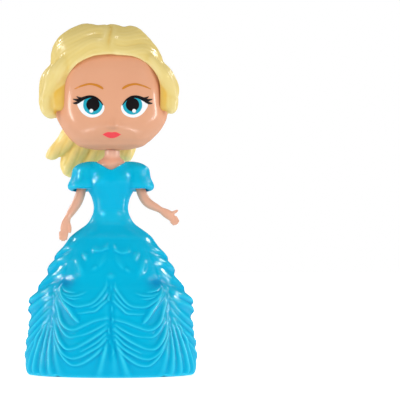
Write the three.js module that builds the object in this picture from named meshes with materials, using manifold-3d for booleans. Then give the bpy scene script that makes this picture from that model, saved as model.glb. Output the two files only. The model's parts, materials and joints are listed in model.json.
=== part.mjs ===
// Small moulded princess doll that stands on its gown. The gown is two hollow halves that trap the bust and
// both arms, a screwed base plate closes it, and the big head turns on a neck spigot.
// Millimetres. +Z is up, the doll faces -Y, +X is its left side, and the origin is under the base plate.

import * as THREE from "three";
import { mergeVertices } from "three/addons/utils/BufferGeometryUtils.js";
import Module from "manifold-3d";

// Gown
const SKIRT_HEIGHT = 56.8;
const HEM_HALF_WIDTH = 29.1;
const HEM_HALF_DEPTH = 26.6;
const WAIST_HALF_WIDTH = 5.9;
const WAIST_HALF_DEPTH = 5;
const BODICE_HEIGHT = 16.2;
const BUST_HALF_WIDTH = 8.9;
const BUST_DEPTH = 7;
const BACK_DEPTH = 5.5;
const GOWN_WALL = 1.8;
const NECKLINE_DROP = 2.8;
const NECKLINE_HALF_WIDTH = 7;
const WAIST_FLOOR = 5;

// Draped overskirt: swags hang between gather columns in the middle of the front and back and at four corners
const CORNER_DEGREES = 48;
const GATHER_DEPTH = 0.4;
const SWAG_PUFF = 0.9;
const PUFF_TOP_SHARE = 0.58;
const PLEAT_DEPTH = 0.7;
const VALLEY_SHARE = 0.4;

// Folds of the swags from the top: height of the crest, as a share of the skirt height, at a middle column,
// in the swag of the front or back, at a corner column and in the swag of the side; then how far the crest
// stands out in the two swags
const SWAG_FOLDS = [
  { middle: 0.762, front: 0.746, corner: 0.775, side: 0.725, frontCrest: 0.4, sideCrest: 1 },
  { middle: 0.701, front: 0.662, corner: 0.708, side: 0.65, frontCrest: 0.4, sideCrest: 1.3 },
  { middle: 0.627, front: 0.546, corner: 0.614, side: 0.551, frontCrest: 0.1, sideCrest: 1.3 },
  { middle: 0.546, front: 0.421, corner: 0.532, side: 0.452, frontCrest: 0.6, sideCrest: 1.6 },
  { middle: 0.458, front: 0.352, corner: 0.489, side: 0.396, frontCrest: 0.7, sideCrest: 1.4 },
  { middle: 0.356, front: 0.283, corner: 0.44, side: 0.313, frontCrest: 0.8, sideCrest: 0.8 },
  { middle: 0.32, front: 0.232, corner: 0.391, side: 0.268, frontCrest: 0.4, sideCrest: 0.7 },
  { middle: 0.287, front: 0.174, corner: 0.342, side: 0.21, frontCrest: 0.8, sideCrest: 0.9 },
  { middle: 0.239, front: 0.12, corner: 0.303, side: 0.165, frontCrest: 0.6, sideCrest: 0.8 },
  { middle: 0.19, front: 0.077, corner: 0.264, side: 0.116, frontCrest: 0.6, sideCrest: 0.8 },
];

// Puff sleeves
const SLEEVE_LENGTH = 9.7;
const SLEEVE_REACH = 14.4;
const SLEEVE_HALF_DEPTH = 6.5;
const SLEEVE_ROOT = 4.6;
const SLEEVE_WALL = 1.2;
const BEARING_WALL_OUT = 8;

// Arms, swinging on a cross pin in the parting line of the gown, and how far each hand reaches from the pin
const ARM_RADIUS = 1.6;
const THUMB_RADIUS = 0.6;
const RIGHT_HAND_OUT = 6.1;
const RIGHT_HAND_FORWARD = 6;
const RIGHT_HAND_DROP = 21.9;
const LEFT_HAND_OUT = 12.4;
const LEFT_HAND_FORWARD = 4.8;
const LEFT_HAND_DROP = 16.4;
const SHOULDER_OUT = 9.6;
const SHOULDER_DROP = 4.7;
const PIN_RADIUS = 1.1;
const PIN_IN = 2.8;
const PIN_OUT = 2.8;
const HUB_RADIUS = 2;
const HUB_HALF_WIDTH = 1.2;
const PIN_CLEARANCE = 0.25;

// Bust, neck and the spigot that carries the head
const CHEST_HALF_WIDTH = 5.6;
const CHEST_DEPTH = 4.4;
const CHEST_BACK = 3.7;
const NECK_RADIUS = 2.55;
const NECK_RISE = 3.7;
const SPIGOT_RADIUS = 1.6;
const SPIGOT_LIP = 0.25;
const SPIGOT_LIP_HEIGHT = 0.7;
const STEM_RADIUS = 1.5;
const STEM_LENGTH = 2.4;
const SEAT_GAP = 0.3;
const RETAINER_RADIUS = 3.4;
const RETAINER_HEIGHT = 1.4;
const RETAINER_CLEARANCE = 0.2;

// Head
const HEAD_HEIGHT = 39.5;
const HEAD_HALF_WIDTH = 19;
const FACE_DEPTH = 17.8;
const NAPE_DEPTH = 15.5;
const HEAD_WALL = 1.7;
const NECK_FLOOR = 2;
const NECK_FLOOR_RADIUS = 4.4;
const HEAD_SPLIT = 3;
const NOSE_RADIUS = 1.5;
const NOSE_HEIGHT = 9;

// Moulded hair
const HAIR_RISE = 3.5;
const HAIR_HALF_WIDTH = 19.6;
const HAIR_FRONT = 18.3;
const HAIR_BACK = 21.5;
const HAIR_OFFSET = 2.8;
const HAIR_POWER = 2.2;
const PARTING_DEPTH = 0.5;
const LOCK_DEPTH = 0.45;
const LOCK_COUNT = 9;
const HAIRLINE_DROP = 7.6;
const HAIRLINE_HALF_WIDTH = 16.5;
const HAIRLINE_CENTRE = 0.4;
const HAIRLINE_POWER = 2.35;
const ROLL_BOTTOM_SHARE = 0.33;
const ROLL_TOP_SHARE = 0.873;
const ROLL_LEAN = 1.7;
const RIGHT_ROLL_REACH = 20.6;
const LEFT_ROLL_REACH = 19.6;
const ROLL_AHEAD = 10.4;
const ROLL_HALF_WIDTH = 4;
const ROLL_HALF_DEPTH = 5.6;

// Locks of a side roll: shares of the place ahead of the middle, of the half width and of the half depth
const ROLL_LOCKS = [
  { ahead: 1, half: 0.825, deep: 0.607 },
  { ahead: 0.385, half: 1, deep: 0.929 },
  { ahead: -0.442, half: 0.95, deep: 1 },
];

// Locks of the tail, measured from the neck
const TAIL_RADIUS = 4.8;
const TAIL_DROP = 9;
const TAIL_STANDOFF = 14;
const RIGHT_TAIL_REACH = 22.2;
const LEFT_TAIL_REACH = 5;
const TAIL_PEG_RADIUS = 1.2;
const TAIL_PEG_OUT = 4;
const TAIL_PEG_TOP = 7.5;

// Base plate and its screws
const BASE_THICKNESS = 2.4;
const SCREW_RADIUS = 1;
const SCREW_HEAD_RADIUS = 2.1;
const SCREW_HEAD_HEIGHT = 1.1;
const SCREW_SINK = 0.2;
const SCREW_LENGTH = 8;
const SCREW_CLEARANCE = 0.2;
const POST_RADIUS = 3;
const POST_HEIGHT = 18;
const POST_INSET = 1.6;
const POST_ANGLES = [0, 125, 235];

// Pegs that line the two gown halves up
const PEG_RADIUS = 1.2;
const PEG_LENGTH = 2.2;
const PEG_BOSS_RADIUS = 2.4;
const PEG_BOSS_LENGTH = 3.5;
const PEG_HEIGHT = 20;
const PEG_CLEARANCE = 0.2;

// Gaps between neighbours that fit into each other
const PARTING_GAP = 0.3;
const FIT_GAP = 0.3;

// How finely the curved skins are divided
const GOWN_STEP_DEGREES = 6.8;
const YOKE_LEVELS = 5;
const HEM_LEVELS = 3;
const BODICE_LEVELS = 6;
const HOLLOW_LEVELS = 7;
const HOLLOW_SIDES = 24;
const HEAD_SIDES = 28;
const HEAD_HOLLOW_SIDES = 20;
const HEAD_LEVELS = 10;
const SLEEVE_SIDES = 16;
const ROD_SIDES = 12;
const LIMB_SIDES = 10;
const LOCK_SIDES = 10;
const LOCK_LEVELS = 6;

const wasm = await Module();
wasm.setup();

const { degToRad, lerp, smoothstep } = THREE.MathUtils;

const waistZ = SKIRT_HEIGHT;
const shoulderZ = waistZ + BODICE_HEIGHT;
const pivotZ = shoulderZ - SHOULDER_DROP;
const mouthZ = shoulderZ - SLEEVE_LENGTH;
const neckTopZ = shoulderZ + NECK_RISE;
const chestFloorZ = waistZ + WAIST_FLOOR;
const skirtTopZ = waistZ - 2 * GOWN_WALL;
const puffTopZ = PUFF_TOP_SHARE * SKIRT_HEIGHT;
const stemHoleZ = chestFloorZ - STEM_LENGTH - SEAT_GAP;
const hairHeight = HEAD_HEIGHT + HAIR_RISE;
const hairlineHeight = HEAD_HEIGHT - HAIRLINE_DROP;
const hairlineSpring = HEAD_HEIGHT / 2;

// Closed geometry to solid, and back
function solid(geometry) {
  const bare = geometry.clone();
  bare.deleteAttribute("normal");
  bare.deleteAttribute("uv");
  const merged = mergeVertices(bare, 1e-4);
  return new wasm.Manifold(
    new wasm.Mesh({
      numProp: 3,
      vertProperties: new Float32Array(merged.attributes.position.array),
      triVerts: new Uint32Array(merged.index.array),
    }),
  );
}

function geometryOf(manifold) {
  const mesh = manifold.getMesh();
  const geometry = new THREE.BufferGeometry();
  geometry.setAttribute("position", new THREE.BufferAttribute(mesh.vertProperties, mesh.numProp));
  geometry.setIndex(new THREE.BufferAttribute(mesh.triVerts, 1));
  geometry.computeVertexNormals();
  return geometry;
}

const joined = (...solids) => solids.reduce((whole, piece) => whole.add(piece));
const cut = (whole, ...tools) => tools.reduce((rest, tool) => rest.subtract(tool), whole);

// Rings of points, all counter-clockwise round the way they follow each other, skinned and capped
function loft(rings) {
  const sides = rings[0].length;
  const points = rings.flat();
  const index = [];
  for (let level = 0; level < rings.length - 1; level++) {
    for (let i = 0; i < sides; i++) {
      const a = level * sides + i;
      const b = level * sides + ((i + 1) % sides);
      index.push(a, b, b + sides, a, b + sides, a + sides);
    }
  }
  const middle = (ring) => ring.reduce((sum, p) => sum.add(p), new THREE.Vector3()).divideScalar(sides);
  const last = (rings.length - 1) * sides;
  points.push(middle(rings[0]), middle(rings[rings.length - 1]));
  for (let i = 0; i < sides; i++) {
    const next = (i + 1) % sides;
    index.push(points.length - 2, next, i);
    index.push(points.length - 1, last + i, last + next);
  }
  const geometry = new THREE.BufferGeometry().setFromPoints(points);
  geometry.setIndex(index);
  return solid(geometry);
}

// Smooth run of values through keyed rows: [key, value, value, ...]
function smooth(rows) {
  const size = rows[0].length - 1;
  const keys = rows.map((row) => row[0]);
  const run = new THREE.CubicInterpolant(keys, rows.flatMap((row) => row.slice(1)), size);
  return (key) => Array.from(run.evaluate(key));
}

// Even steps from one value to another, both included
const steps = (from, to, count) => Array.from({ length: count + 1 }, (_, i) => lerp(from, to, i / count));

// Level ring: superellipse with its own reach to front and back, counted from the front towards +X
function levelRing({ z, x = 0, y = 0, half, front, back, power = 2, sides, relief = () => 0 }) {
  return Array.from({ length: sides }, (_, i) => {
    const angle = (i / sides) * 2 * Math.PI;
    const across = Math.sign(Math.sin(angle)) * Math.abs(Math.sin(angle)) ** (2 / power);
    const ahead = Math.sign(Math.cos(angle)) * Math.abs(Math.cos(angle)) ** (2 / power);
    const flat = new THREE.Vector2(half * across, -(ahead > 0 ? front : back) * ahead);
    flat.setLength(flat.length() + relief(angle));
    return new THREE.Vector3(x + flat.x, y + flat.y, z);
  });
}

function rod(radius, from, to) {
  const along = new THREE.Vector3().subVectors(to, from);
  const geometry = new THREE.CylinderGeometry(radius, radius, along.length(), ROD_SIDES);
  const upright = new THREE.Vector3(0, 1, 0);
  const turn = new THREE.Quaternion().setFromUnitVectors(upright, along.clone().normalize());
  geometry.applyQuaternion(turn);
  geometry.translate(...from.clone().addScaledVector(along, 0.5).toArray());
  return solid(geometry);
}

function block(min, max) {
  const size = new THREE.Vector3().subVectors(max, min);
  const geometry = new THREE.BoxGeometry(size.x, size.y, size.z);
  geometry.translate(...min.clone().addScaledVector(size, 0.5).toArray());
  return solid(geometry);
}

const at = (x, y, z) => new THREE.Vector3(x, y, z);
const FAR = 400;
const frontOf = (y) => block(at(-FAR, -FAR, -FAR), at(FAR, y, FAR));
const behind = (y) => block(at(-FAR, y, -FAR), at(FAR, FAR, FAR));

// Skirt flare: share of the skirt height, and share of the way from waist to hem
const flareAt = smooth([
  [0, 0.948],
  [0.02, 0.978],
  [0.11, 1],
  [0.206, 0.966],
  [0.398, 0.905],
  [0.458, 0.879],
  [0.521, 0.789],
  [0.607, 0.664],
  [0.732, 0.504],
  [0.805, 0.392],
  [0.854, 0.289],
  [0.901, 0.138],
  [0.949, 0.045],
  [1, 0],
]);

// Bodice swell: share of the bodice height, and share of the way from waist to bust
const swellAt = smooth([
  [0, 0],
  [0.15, 0.1],
  [0.32, 0.5],
  [0.42, 0.86],
  [0.56, 1],
  [0.76, 0.9],
  [0.9, 0.6],
  [1, 0.25],
]);

function gownSection(z) {
  if (z < waistZ) {
    const [flare] = flareAt(z / SKIRT_HEIGHT);
    const depth = lerp(WAIST_HALF_DEPTH, HEM_HALF_DEPTH, flare);
    return { z, half: lerp(WAIST_HALF_WIDTH, HEM_HALF_WIDTH, flare), front: depth, back: depth };
  }
  const [swell] = swellAt((z - waistZ) / BODICE_HEIGHT);
  return {
    z,
    half: lerp(WAIST_HALF_WIDTH, BUST_HALF_WIDTH, swell),
    front: lerp(WAIST_HALF_DEPTH, BUST_DEPTH, swell),
    back: lerp(WAIST_HALF_DEPTH, BACK_DEPTH, swell),
  };
}

// Panels of the skirt between two columns, for each half turn
const PANELS = [
  { from: 0, to: CORNER_DEGREES, start: "middle", end: "corner", swag: "front" },
  { from: CORNER_DEGREES, to: 180 - CORNER_DEGREES, start: "corner", end: "corner", swag: "side" },
  { from: 180 - CORNER_DEGREES, to: 180, start: "corner", end: "middle", swag: "front" },
];

// Vertical lines of the gown, with one on every gather column
const gownLines = [0, 180].flatMap((turn) =>
  PANELS.flatMap((panel) => {
    const span = panel.to - panel.from;
    const count = Math.round(span / GOWN_STEP_DEGREES);
    return steps(0, 1, count)
      .slice(0, count)
      .map((across) => ({
        ...panel,
        across,
        angle: degToRad(turn + panel.from + across * span),
        hang: Math.sin(Math.PI * across) ** 0.8,
      }));
  }),
);

// Rows of the skirt from the waist down: each fold has a crest row and, soon below it, a valley row
function skirtRows() {
  const smoothCloth = { frontCrest: 0, sideCrest: 0, pleat: 0 };
  const plain = (up) => ({ middle: up, front: up, corner: up, side: up, ...smoothCloth });
  const between = (a, b, share) => {
    const row = plain(0);
    for (const place of ["middle", "front", "corner", "side"]) row[place] = lerp(a[place], b[place], share);
    return row;
  };
  const first = SWAG_FOLDS[0];
  const last = SWAG_FOLDS[SWAG_FOLDS.length - 1];
  const yoke = steps(0, 1, YOKE_LEVELS).slice(0, -1).map((down) => between(plain(1), first, down));
  const folds = SWAG_FOLDS.flatMap((fold, i) => {
    const next = SWAG_FOLDS[i + 1] ?? plain(0);
    return [{ ...fold, pleat: 0 }, between(fold, next, VALLEY_SHARE)];
  });
  const valley = between(last, plain(0), VALLEY_SHARE);
  const hem = steps(0, 1, HEM_LEVELS)
    .slice(1)
    .map((down) => ({ ...between(valley, plain(0), down), pleat: down }));
  return [...yoke, ...folds, ...hem];
}

function gownPoint({ angle }, z, relief) {
  const { half, front, back } = gownSection(z);
  const ahead = Math.cos(angle);
  const flat = new THREE.Vector2(half * Math.sin(angle), -(ahead > 0 ? front : back) * ahead);
  flat.setLength(flat.length() + relief);
  return new THREE.Vector3(flat.x, flat.y, z);
}

function skirtRing(row) {
  return gownLines.map((line, i) => {
    const ends = lerp(row[line.start], row[line.end], line.across);
    const z = SKIRT_HEIGHT * lerp(ends, row[line.swag], line.hang);
    const loose = smoothstep(z, 0, puffTopZ / 3) * (1 - smoothstep(z, (2 * puffTopZ) / 3, puffTopZ));
    const puff = line.swag === "front" ? SWAG_PUFF * line.hang : 0;
    const gather = line.across === 0 ? GATHER_DEPTH : 0;
    const crest = row[`${line.swag}Crest`] * (0.35 + 0.65 * line.hang);
    const pleat = PLEAT_DEPTH * row.pleat * (i % 2) * (1 - 0.7 * line.hang);
    return gownPoint(line, z, crest + loose * (puff - gather) + pleat);
  });
}

function gownSkin() {
  const skirt = skirtRows().reverse().map(skirtRing);
  const bodice = steps(waistZ, shoulderZ, BODICE_LEVELS)
    .slice(1)
    .map((z) => gownLines.map((line) => gownPoint(line, z, 0)));
  return loft([...skirt, ...bodice]);
}

// Hollow of the skirt, open at the hem, straight where the base plate fits in and closed under the waist
function skirtSection(z) {
  const outer = gownSection(Math.max(z, BASE_THICKNESS));
  return { z, half: outer.half - GOWN_WALL, front: outer.front - GOWN_WALL, back: outer.back - GOWN_WALL };
}

function skirtHollow() {
  const hem = { ...skirtSection(0), z: -1 };
  const sections = [hem, ...steps(0, skirtTopZ, HOLLOW_LEVELS).map(skirtSection)];
  return loft(sections.map((section) => levelRing({ ...section, sides: HOLLOW_SIDES })));
}

// Puff sleeve: share of its length up from the mouth, share of its reach, share of its depth
const sleeveShape = smooth([
  [0, 0.94, 0.95],
  [0.05, 0.985, 0.985],
  [0.13, 1, 1],
  [0.36, 0.945, 0.96],
  [0.54, 0.905, 0.91],
  [0.7, 0.865, 0.84],
  [0.82, 0.815, 0.74],
  [0.9, 0.755, 0.62],
  [0.96, 0.68, 0.46],
  [1, 0.58, 0.22],
]);

const sleeveZ = (share) => mouthZ + share * SLEEVE_LENGTH;

function sleeveRing(side, share, { wall = 0, root = SLEEVE_ROOT, power = 2.4, z = sleeveZ(share) }) {
  const [reach, depth] = sleeveShape(share);
  const outer = SLEEVE_REACH * reach - wall;
  const front = SLEEVE_HALF_DEPTH * depth - wall;
  const half = (outer - root) / 2;
  return levelRing({ z, x: side * (root + half), half, front, back: front, power, sides: SLEEVE_SIDES });
}

function sleeveSkin(side) {
  const shares = [0, 0.05, 0.13, 0.36, 0.54, 0.7, 0.82, 0.9, 0.96, 1];
  return loft(shares.map((share) => sleeveRing(side, share, {})));
}

// Hollow of a sleeve, open at the mouth, as high as the arm hub needs
function sleeveHollow(side) {
  const inside = { wall: SLEEVE_WALL, root: BEARING_WALL_OUT, power: 3 };
  const top = (SLEEVE_LENGTH - SHOULDER_DROP + HUB_RADIUS + SEAT_GAP) / SLEEVE_LENGTH;
  const mouth = sleeveRing(side, 0, { ...inside, z: mouthZ - 1 });
  return loft([mouth, ...steps(0, top, 5).map((share) => sleeveRing(side, share, inside))]);
}

function pinBore(side) {
  const radius = PIN_RADIUS + PIN_CLEARANCE;
  const inner = SHOULDER_OUT - PIN_IN - PIN_CLEARANCE;
  const outer = SHOULDER_OUT + PIN_OUT + PIN_CLEARANCE;
  return rod(radius, at(side * inner, 0, pivotZ), at(side * outer, 0, pivotZ));
}

// Dipped neckline, the same at front and back
function necklineCut() {
  const shape = new THREE.Shape();
  shape.moveTo(-NECKLINE_HALF_WIDTH, shoulderZ + NECK_RISE);
  for (const x of steps(-NECKLINE_HALF_WIDTH, NECKLINE_HALF_WIDTH, 16)) {
    const rise = Math.sin((Math.PI / 2) * (Math.abs(x) / NECKLINE_HALF_WIDTH));
    shape.lineTo(x, shoulderZ - NECKLINE_DROP * (1 - rise));
  }
  shape.lineTo(NECKLINE_HALF_WIDTH, shoulderZ + NECK_RISE);
  const depth = 4 * BUST_DEPTH;
  const geometry = new THREE.ExtrudeGeometry(shape, { depth, bevelEnabled: false });
  geometry.rotateX(Math.PI / 2);
  geometry.translate(0, depth / 2, 0);
  return solid(geometry);
}

// Bust: height above the chest floor as a share of the way to the neck, then shares of chest size
const chestShape = smooth([
  [0, 0.82],
  [0.2, 0.96],
  [0.45, 1],
  [0.66, 0.98],
  [0.78, 0.87],
  [0.85, 0.66],
  [0.9, 0.38],
  [0.94, 0.16],
  [1, 0],
]);

function chestSection(share, gap = 0) {
  const [size] = chestShape(share);
  const reach = (chest) => lerp(NECK_RADIUS, chest, size) + gap;
  return { half: reach(CHEST_HALF_WIDTH), front: reach(CHEST_DEPTH), back: reach(CHEST_BACK) };
}

const neckRootZ = neckTopZ - NECK_RISE / 3;
const stemTopZ = chestFloorZ + SEAT_GAP;
const retainerZ = neckTopZ + SEAT_GAP + NECK_FLOOR + SEAT_GAP;
const lipZ = retainerZ + RETAINER_HEIGHT + SEAT_GAP;

function bust() {
  const ring = (z, share) => levelRing({ z, ...chestSection(share), sides: SLEEVE_SIDES });
  const shares = [...steps(0, 0.6, 4), 0.7, 0.78, 0.85, 0.9, 0.94, 1];
  const chest = shares.map((share) => ring(lerp(stemTopZ, neckRootZ, share), share));
  const body = loft([...chest, ring(neckTopZ, 1)]);
  const stem = rod(STEM_RADIUS, at(0, 0, chestFloorZ - STEM_LENGTH), at(0, 0, stemTopZ + 1));
  const spigot = rod(SPIGOT_RADIUS, at(0, 0, neckTopZ - 1), at(0, 0, lipZ + SPIGOT_LIP_HEIGHT));
  const lip = rod(SPIGOT_RADIUS + SPIGOT_LIP, at(0, 0, lipZ), at(0, 0, lipZ + SPIGOT_LIP_HEIGHT));
  return joined(body, stem, spigot, lip);
}

// Room for the bust between the gown halves, open at the neckline
function bustPocket() {
  const widest = 0.66;
  const ring = (z, share) => levelRing({ z, ...chestSection(share, FIT_GAP), sides: SLEEVE_SIDES });
  const inside = steps(0, widest, 6).map((share) => ring(lerp(chestFloorZ, neckRootZ, share), share));
  const stem = rod(STEM_RADIUS + FIT_GAP, at(0, 0, stemHoleZ), at(0, 0, chestFloorZ + 1));
  return joined(loft([...inside, ring(neckTopZ, widest)]), stem);
}

// Screw posts stand just above the base plate, and a second round behind each joins it to the skirt wall
function postPlace(degrees, inset = POST_INSET) {
  const angle = degToRad(degrees);
  const { half, front } = skirtSection(POST_HEIGHT);
  return at((half - inset) * Math.sin(angle), -(front - inset) * Math.cos(angle), 0);
}

function screwPost(degrees) {
  const upright = ({ x, y }) => rod(POST_RADIUS, at(x, y, BASE_THICKNESS + SEAT_GAP), at(x, y, POST_HEIGHT));
  return joined(upright(postPlace(degrees)), upright(postPlace(degrees, -POST_INSET)));
}

function screwPilot(degrees) {
  const { x, y } = postPlace(degrees);
  return rod(SCREW_RADIUS + SCREW_CLEARANCE, at(x, y, 0), at(x, y, SCREW_SINK + SCREW_LENGTH + SEAT_GAP));
}

const pegPlaces = () => {
  const flank = skirtSection(PEG_HEIGHT).half - PEG_BOSS_RADIUS / 2;
  const waistCore = (skirtTopZ + stemHoleZ) / 2;
  return [at(-flank, 0, PEG_HEIGHT), at(flank, 0, PEG_HEIGHT), at(0, 0, waistCore)];
};

function pegBosses() {
  return pegPlaces()
    .slice(0, 2)
    .map(({ x, z }) => rod(PEG_BOSS_RADIUS, at(x, -PEG_BOSS_LENGTH, z), at(x, PEG_BOSS_LENGTH, z)));
}

function gownHalves() {
  const skin = joined(gownSkin(), sleeveSkin(1), sleeveSkin(-1));
  const hollow = cut(
    skin,
    skirtHollow(),
    sleeveHollow(1),
    sleeveHollow(-1),
    pinBore(1),
    pinBore(-1),
    bustPocket(),
    necklineCut(),
  );
  const inner = joined(...POST_ANGLES.map(screwPost), ...pegBosses());
  const gown = cut(joined(hollow, inner.intersect(skin)), ...POST_ANGLES.map(screwPilot));
  const pegs = pegPlaces().map(({ x, z }) => rod(PEG_RADIUS, at(x, -PEG_LENGTH, z), at(x, PEG_LENGTH, z)));
  const sockets = pegPlaces().map(({ x, z }) =>
    rod(PEG_RADIUS + PEG_CLEARANCE, at(x, -PEG_LENGTH, z), at(x, PEG_LENGTH + PEG_CLEARANCE, z)),
  );
  return {
    front: joined(gown.intersect(frontOf(-PARTING_GAP / 2)), ...pegs),
    back: cut(gown.intersect(behind(PARTING_GAP / 2)), ...sockets),
  };
}

function basePlate() {
  const { half, front, back } = skirtSection(0);
  const outline = { half: half - FIT_GAP, front: front - FIT_GAP, back: back - FIT_GAP, sides: HOLLOW_SIDES };
  const plate = loft([0, BASE_THICKNESS].map((z) => levelRing({ z, ...outline })));
  const holes = POST_ANGLES.flatMap((degrees) => {
    const { x, y } = postPlace(degrees);
    const sink = SCREW_SINK + SCREW_HEAD_HEIGHT + SEAT_GAP;
    return [
      rod(SCREW_RADIUS + SCREW_CLEARANCE, at(x, y, -1), at(x, y, BASE_THICKNESS + 1)),
      rod(SCREW_HEAD_RADIUS + SCREW_CLEARANCE, at(x, y, -1), at(x, y, sink)),
    ];
  });
  return cut(plate, ...holes);
}

// Screw with its flat head sunk into the underside of the base plate, and a cross recess
function baseScrew() {
  const recess = SCREW_HEAD_HEIGHT / 2;
  const slot = SCREW_RADIUS / 4;
  const head = rod(SCREW_HEAD_RADIUS, at(0, 0, 0), at(0, 0, SCREW_HEAD_HEIGHT));
  const shank = rod(SCREW_RADIUS, at(0, 0, SCREW_HEAD_HEIGHT / 2), at(0, 0, SCREW_LENGTH));
  const crossways = block(at(-SCREW_RADIUS, -slot, -1), at(SCREW_RADIUS, slot, recess));
  const lengthways = block(at(-slot, -SCREW_RADIUS, -1), at(slot, SCREW_RADIUS, recess));
  return cut(joined(head, shank), crossways, lengthways);
}

// Elliptical sections along a path; width lies in the plane of the limb and thickness towards front and back
function limb(points, sections, count, sides = LIMB_SIDES) {
  const path = new THREE.CatmullRomCurve3(points);
  const sizes = smooth(sections);
  return loft(
    steps(0, 1, count).map((share) => {
      const [width, thickness] = sizes(share);
      const along = path.getTangent(share);
      const across = new THREE.Vector3().crossVectors(at(0, 1, 0), along).normalize();
      const deep = new THREE.Vector3().crossVectors(along, across);
      const centre = path.getPoint(share);
      return Array.from({ length: sides }, (_, i) => {
        const angle = (i / sides) * 2 * Math.PI;
        return centre
          .clone()
          .addScaledVector(across, width * Math.cos(angle))
          .addScaledVector(deep, thickness * Math.sin(angle));
      });
    }),
  );
}

const sized = (sections, width, thickness = width) =>
  sections.map(([share, across, deep]) => [share, width * across, thickness * deep]);

// Arm: share of its length, shares of its radius in width and thickness
const ARM_SECTIONS = [
  [0, 0.75, 0.94],
  [0.22, 1, 1],
  [0.45, 1.03, 1],
  [0.62, 0.84, 0.81],
  [0.73, 0.69, 0.62],
  [0.84, 1, 0.59],
  [0.94, 0.78, 0.47],
  [1, 0.31, 0.22],
];
const THUMB_SECTIONS = [
  [0, 1, 1],
  [0.7, 0.92, 0.83],
  [1, 0.5, 0.42],
];

// Arm paths and thumbs from the shoulder: shares of the hand's reach outwards, forwards and down
const RIGHT_ARM = {
  reach: at(-RIGHT_HAND_OUT, -RIGHT_HAND_FORWARD, -RIGHT_HAND_DROP),
  path: [
    at(0, 0, 0),
    at(0.08, 0.02, 0.22),
    at(0.3, 0.15, 0.41),
    at(0.69, 0.49, 0.6),
    at(0.84, 0.69, 0.68),
    at(0.93, 0.85, 0.8),
    at(1, 1, 1),
  ],
  thumb: [at(0.8, 0.78, 0.72), at(0.64, 0.91, 0.82), at(0.64, 1, 0.91)],
};
const LEFT_ARM = {
  reach: at(LEFT_HAND_OUT, -LEFT_HAND_FORWARD, -LEFT_HAND_DROP),
  path: [
    at(0, 0, 0),
    at(0.04, 0.02, 0.3),
    at(0.23, 0.15, 0.57),
    at(0.5, 0.46, 0.69),
    at(0.69, 0.69, 0.77),
    at(0.87, 0.88, 0.85),
    at(1, 1, 1),
  ],
  thumb: [at(0.83, 0.84, 0.8), at(0.97, 0.94, 0.77), at(1.08, 1, 0.73)],
};

function arm(side, { reach, path, thumb }) {
  const hub = rod(HUB_RADIUS, at(-HUB_HALF_WIDTH, 0, 0), at(HUB_HALF_WIDTH, 0, 0));
  const pin = rod(PIN_RADIUS, at(-side * PIN_IN, 0, 0), at(side * PIN_OUT, 0, 0));
  const placed = (points) => points.map((point) => point.clone().multiply(reach));
  const whole = limb(placed(path), sized(ARM_SECTIONS, ARM_RADIUS), 14);
  return joined(hub, pin, whole, limb(placed(thumb), sized(THUMB_SECTIONS, THUMB_RADIUS), 4));
}

// Head: height share, width share, depth share
const headShape = smooth([
  [0, 0.3, 0.3],
  [0.02, 0.5, 0.48],
  [0.065, 0.67, 0.64],
  [0.13, 0.8, 0.79],
  [0.21, 0.91, 0.9],
  [0.28, 0.98, 0.95],
  [0.4, 1, 0.99],
  [0.55, 0.99, 1],
  [0.7, 0.93, 0.97],
  [0.82, 0.8, 0.85],
  [0.92, 0.58, 0.62],
  [1, 0.2, 0.2],
]);

const HEAD_POWER = 2.5;

function headSection(share, grow = 0) {
  const [width, depth] = headShape(share);
  return {
    half: HEAD_HALF_WIDTH * width + grow,
    front: FACE_DEPTH * depth + grow,
    back: NAPE_DEPTH * depth + grow,
    power: HEAD_POWER,
    sides: grow < 0 ? HEAD_HOLLOW_SIDES : HEAD_SIDES,
  };
}

// Head form above the neck shoulder, grown or shrunk evenly
function headForm(grow = 0) {
  const shares = [0, 0.02, 0.065, ...steps(0.13, 1, HEAD_LEVELS)];
  const z = (share) => lerp(SEAT_GAP - grow, SEAT_GAP + HEAD_HEIGHT + grow, share);
  return loft(shares.map((share) => levelRing({ z: z(share), ...headSection(share, grow) })));
}

// The neck boss is one with the face, and the hair back has room for it
const neckBoss = (gap = 0) =>
  rod(NECK_FLOOR_RADIUS + gap, at(0, 0, SEAT_GAP - gap), at(0, 0, SEAT_GAP + NECK_FLOOR + gap));

function faceShell() {
  const nose = new THREE.SphereGeometry(NOSE_RADIUS, 12, 8);
  const { front } = headSection((NOSE_HEIGHT - SEAT_GAP) / HEAD_HEIGHT);
  nose.translate(0, NOSE_RADIUS / 2 - front, NOSE_HEIGHT);
  const neckHole = rod(SPIGOT_RADIUS + FIT_GAP, at(0, 0, -1), at(0, 0, 2 * NECK_FLOOR));
  const shell = cut(joined(headForm(), solid(nose)), headForm(-HEAD_WALL));
  return cut(joined(shell.intersect(frontOf(HEAD_SPLIT - PARTING_GAP / 2)), neckBoss()), neckHole);
}

// Hair mass: height share, width share, front share, back share
const hairShape = smooth([
  [0.08, 0.3, 0.11, 0.55],
  [0.18, 0.65, 0.4, 0.86],
  [0.32, 0.87, 0.6, 0.95],
  [0.46, 0.95, 0.75, 1],
  [0.58, 0.985, 0.93, 1],
  [0.7, 0.965, 1, 0.97],
  [0.85, 0.832, 0.9, 0.83],
  [0.94, 0.658, 0.68, 0.63],
  [0.975, 0.53, 0.52, 0.5],
  [1, 0.33, 0.3, 0.3],
]);

// Combed waves over the crown, with a parting near the middle of the front
function combed(angle, share) {
  const sweep = angle + 1.6 * share;
  const crown = smoothstep(share, 0.5, 0.8);
  const fromParting = Math.atan2(Math.sin(angle), Math.cos(angle));
  const parting = PARTING_DEPTH * crown * Math.exp(-((fromParting / 0.12) ** 2));
  return (LOCK_DEPTH / 2) * Math.cos(LOCK_COUNT * sweep) - parting;
}

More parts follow.
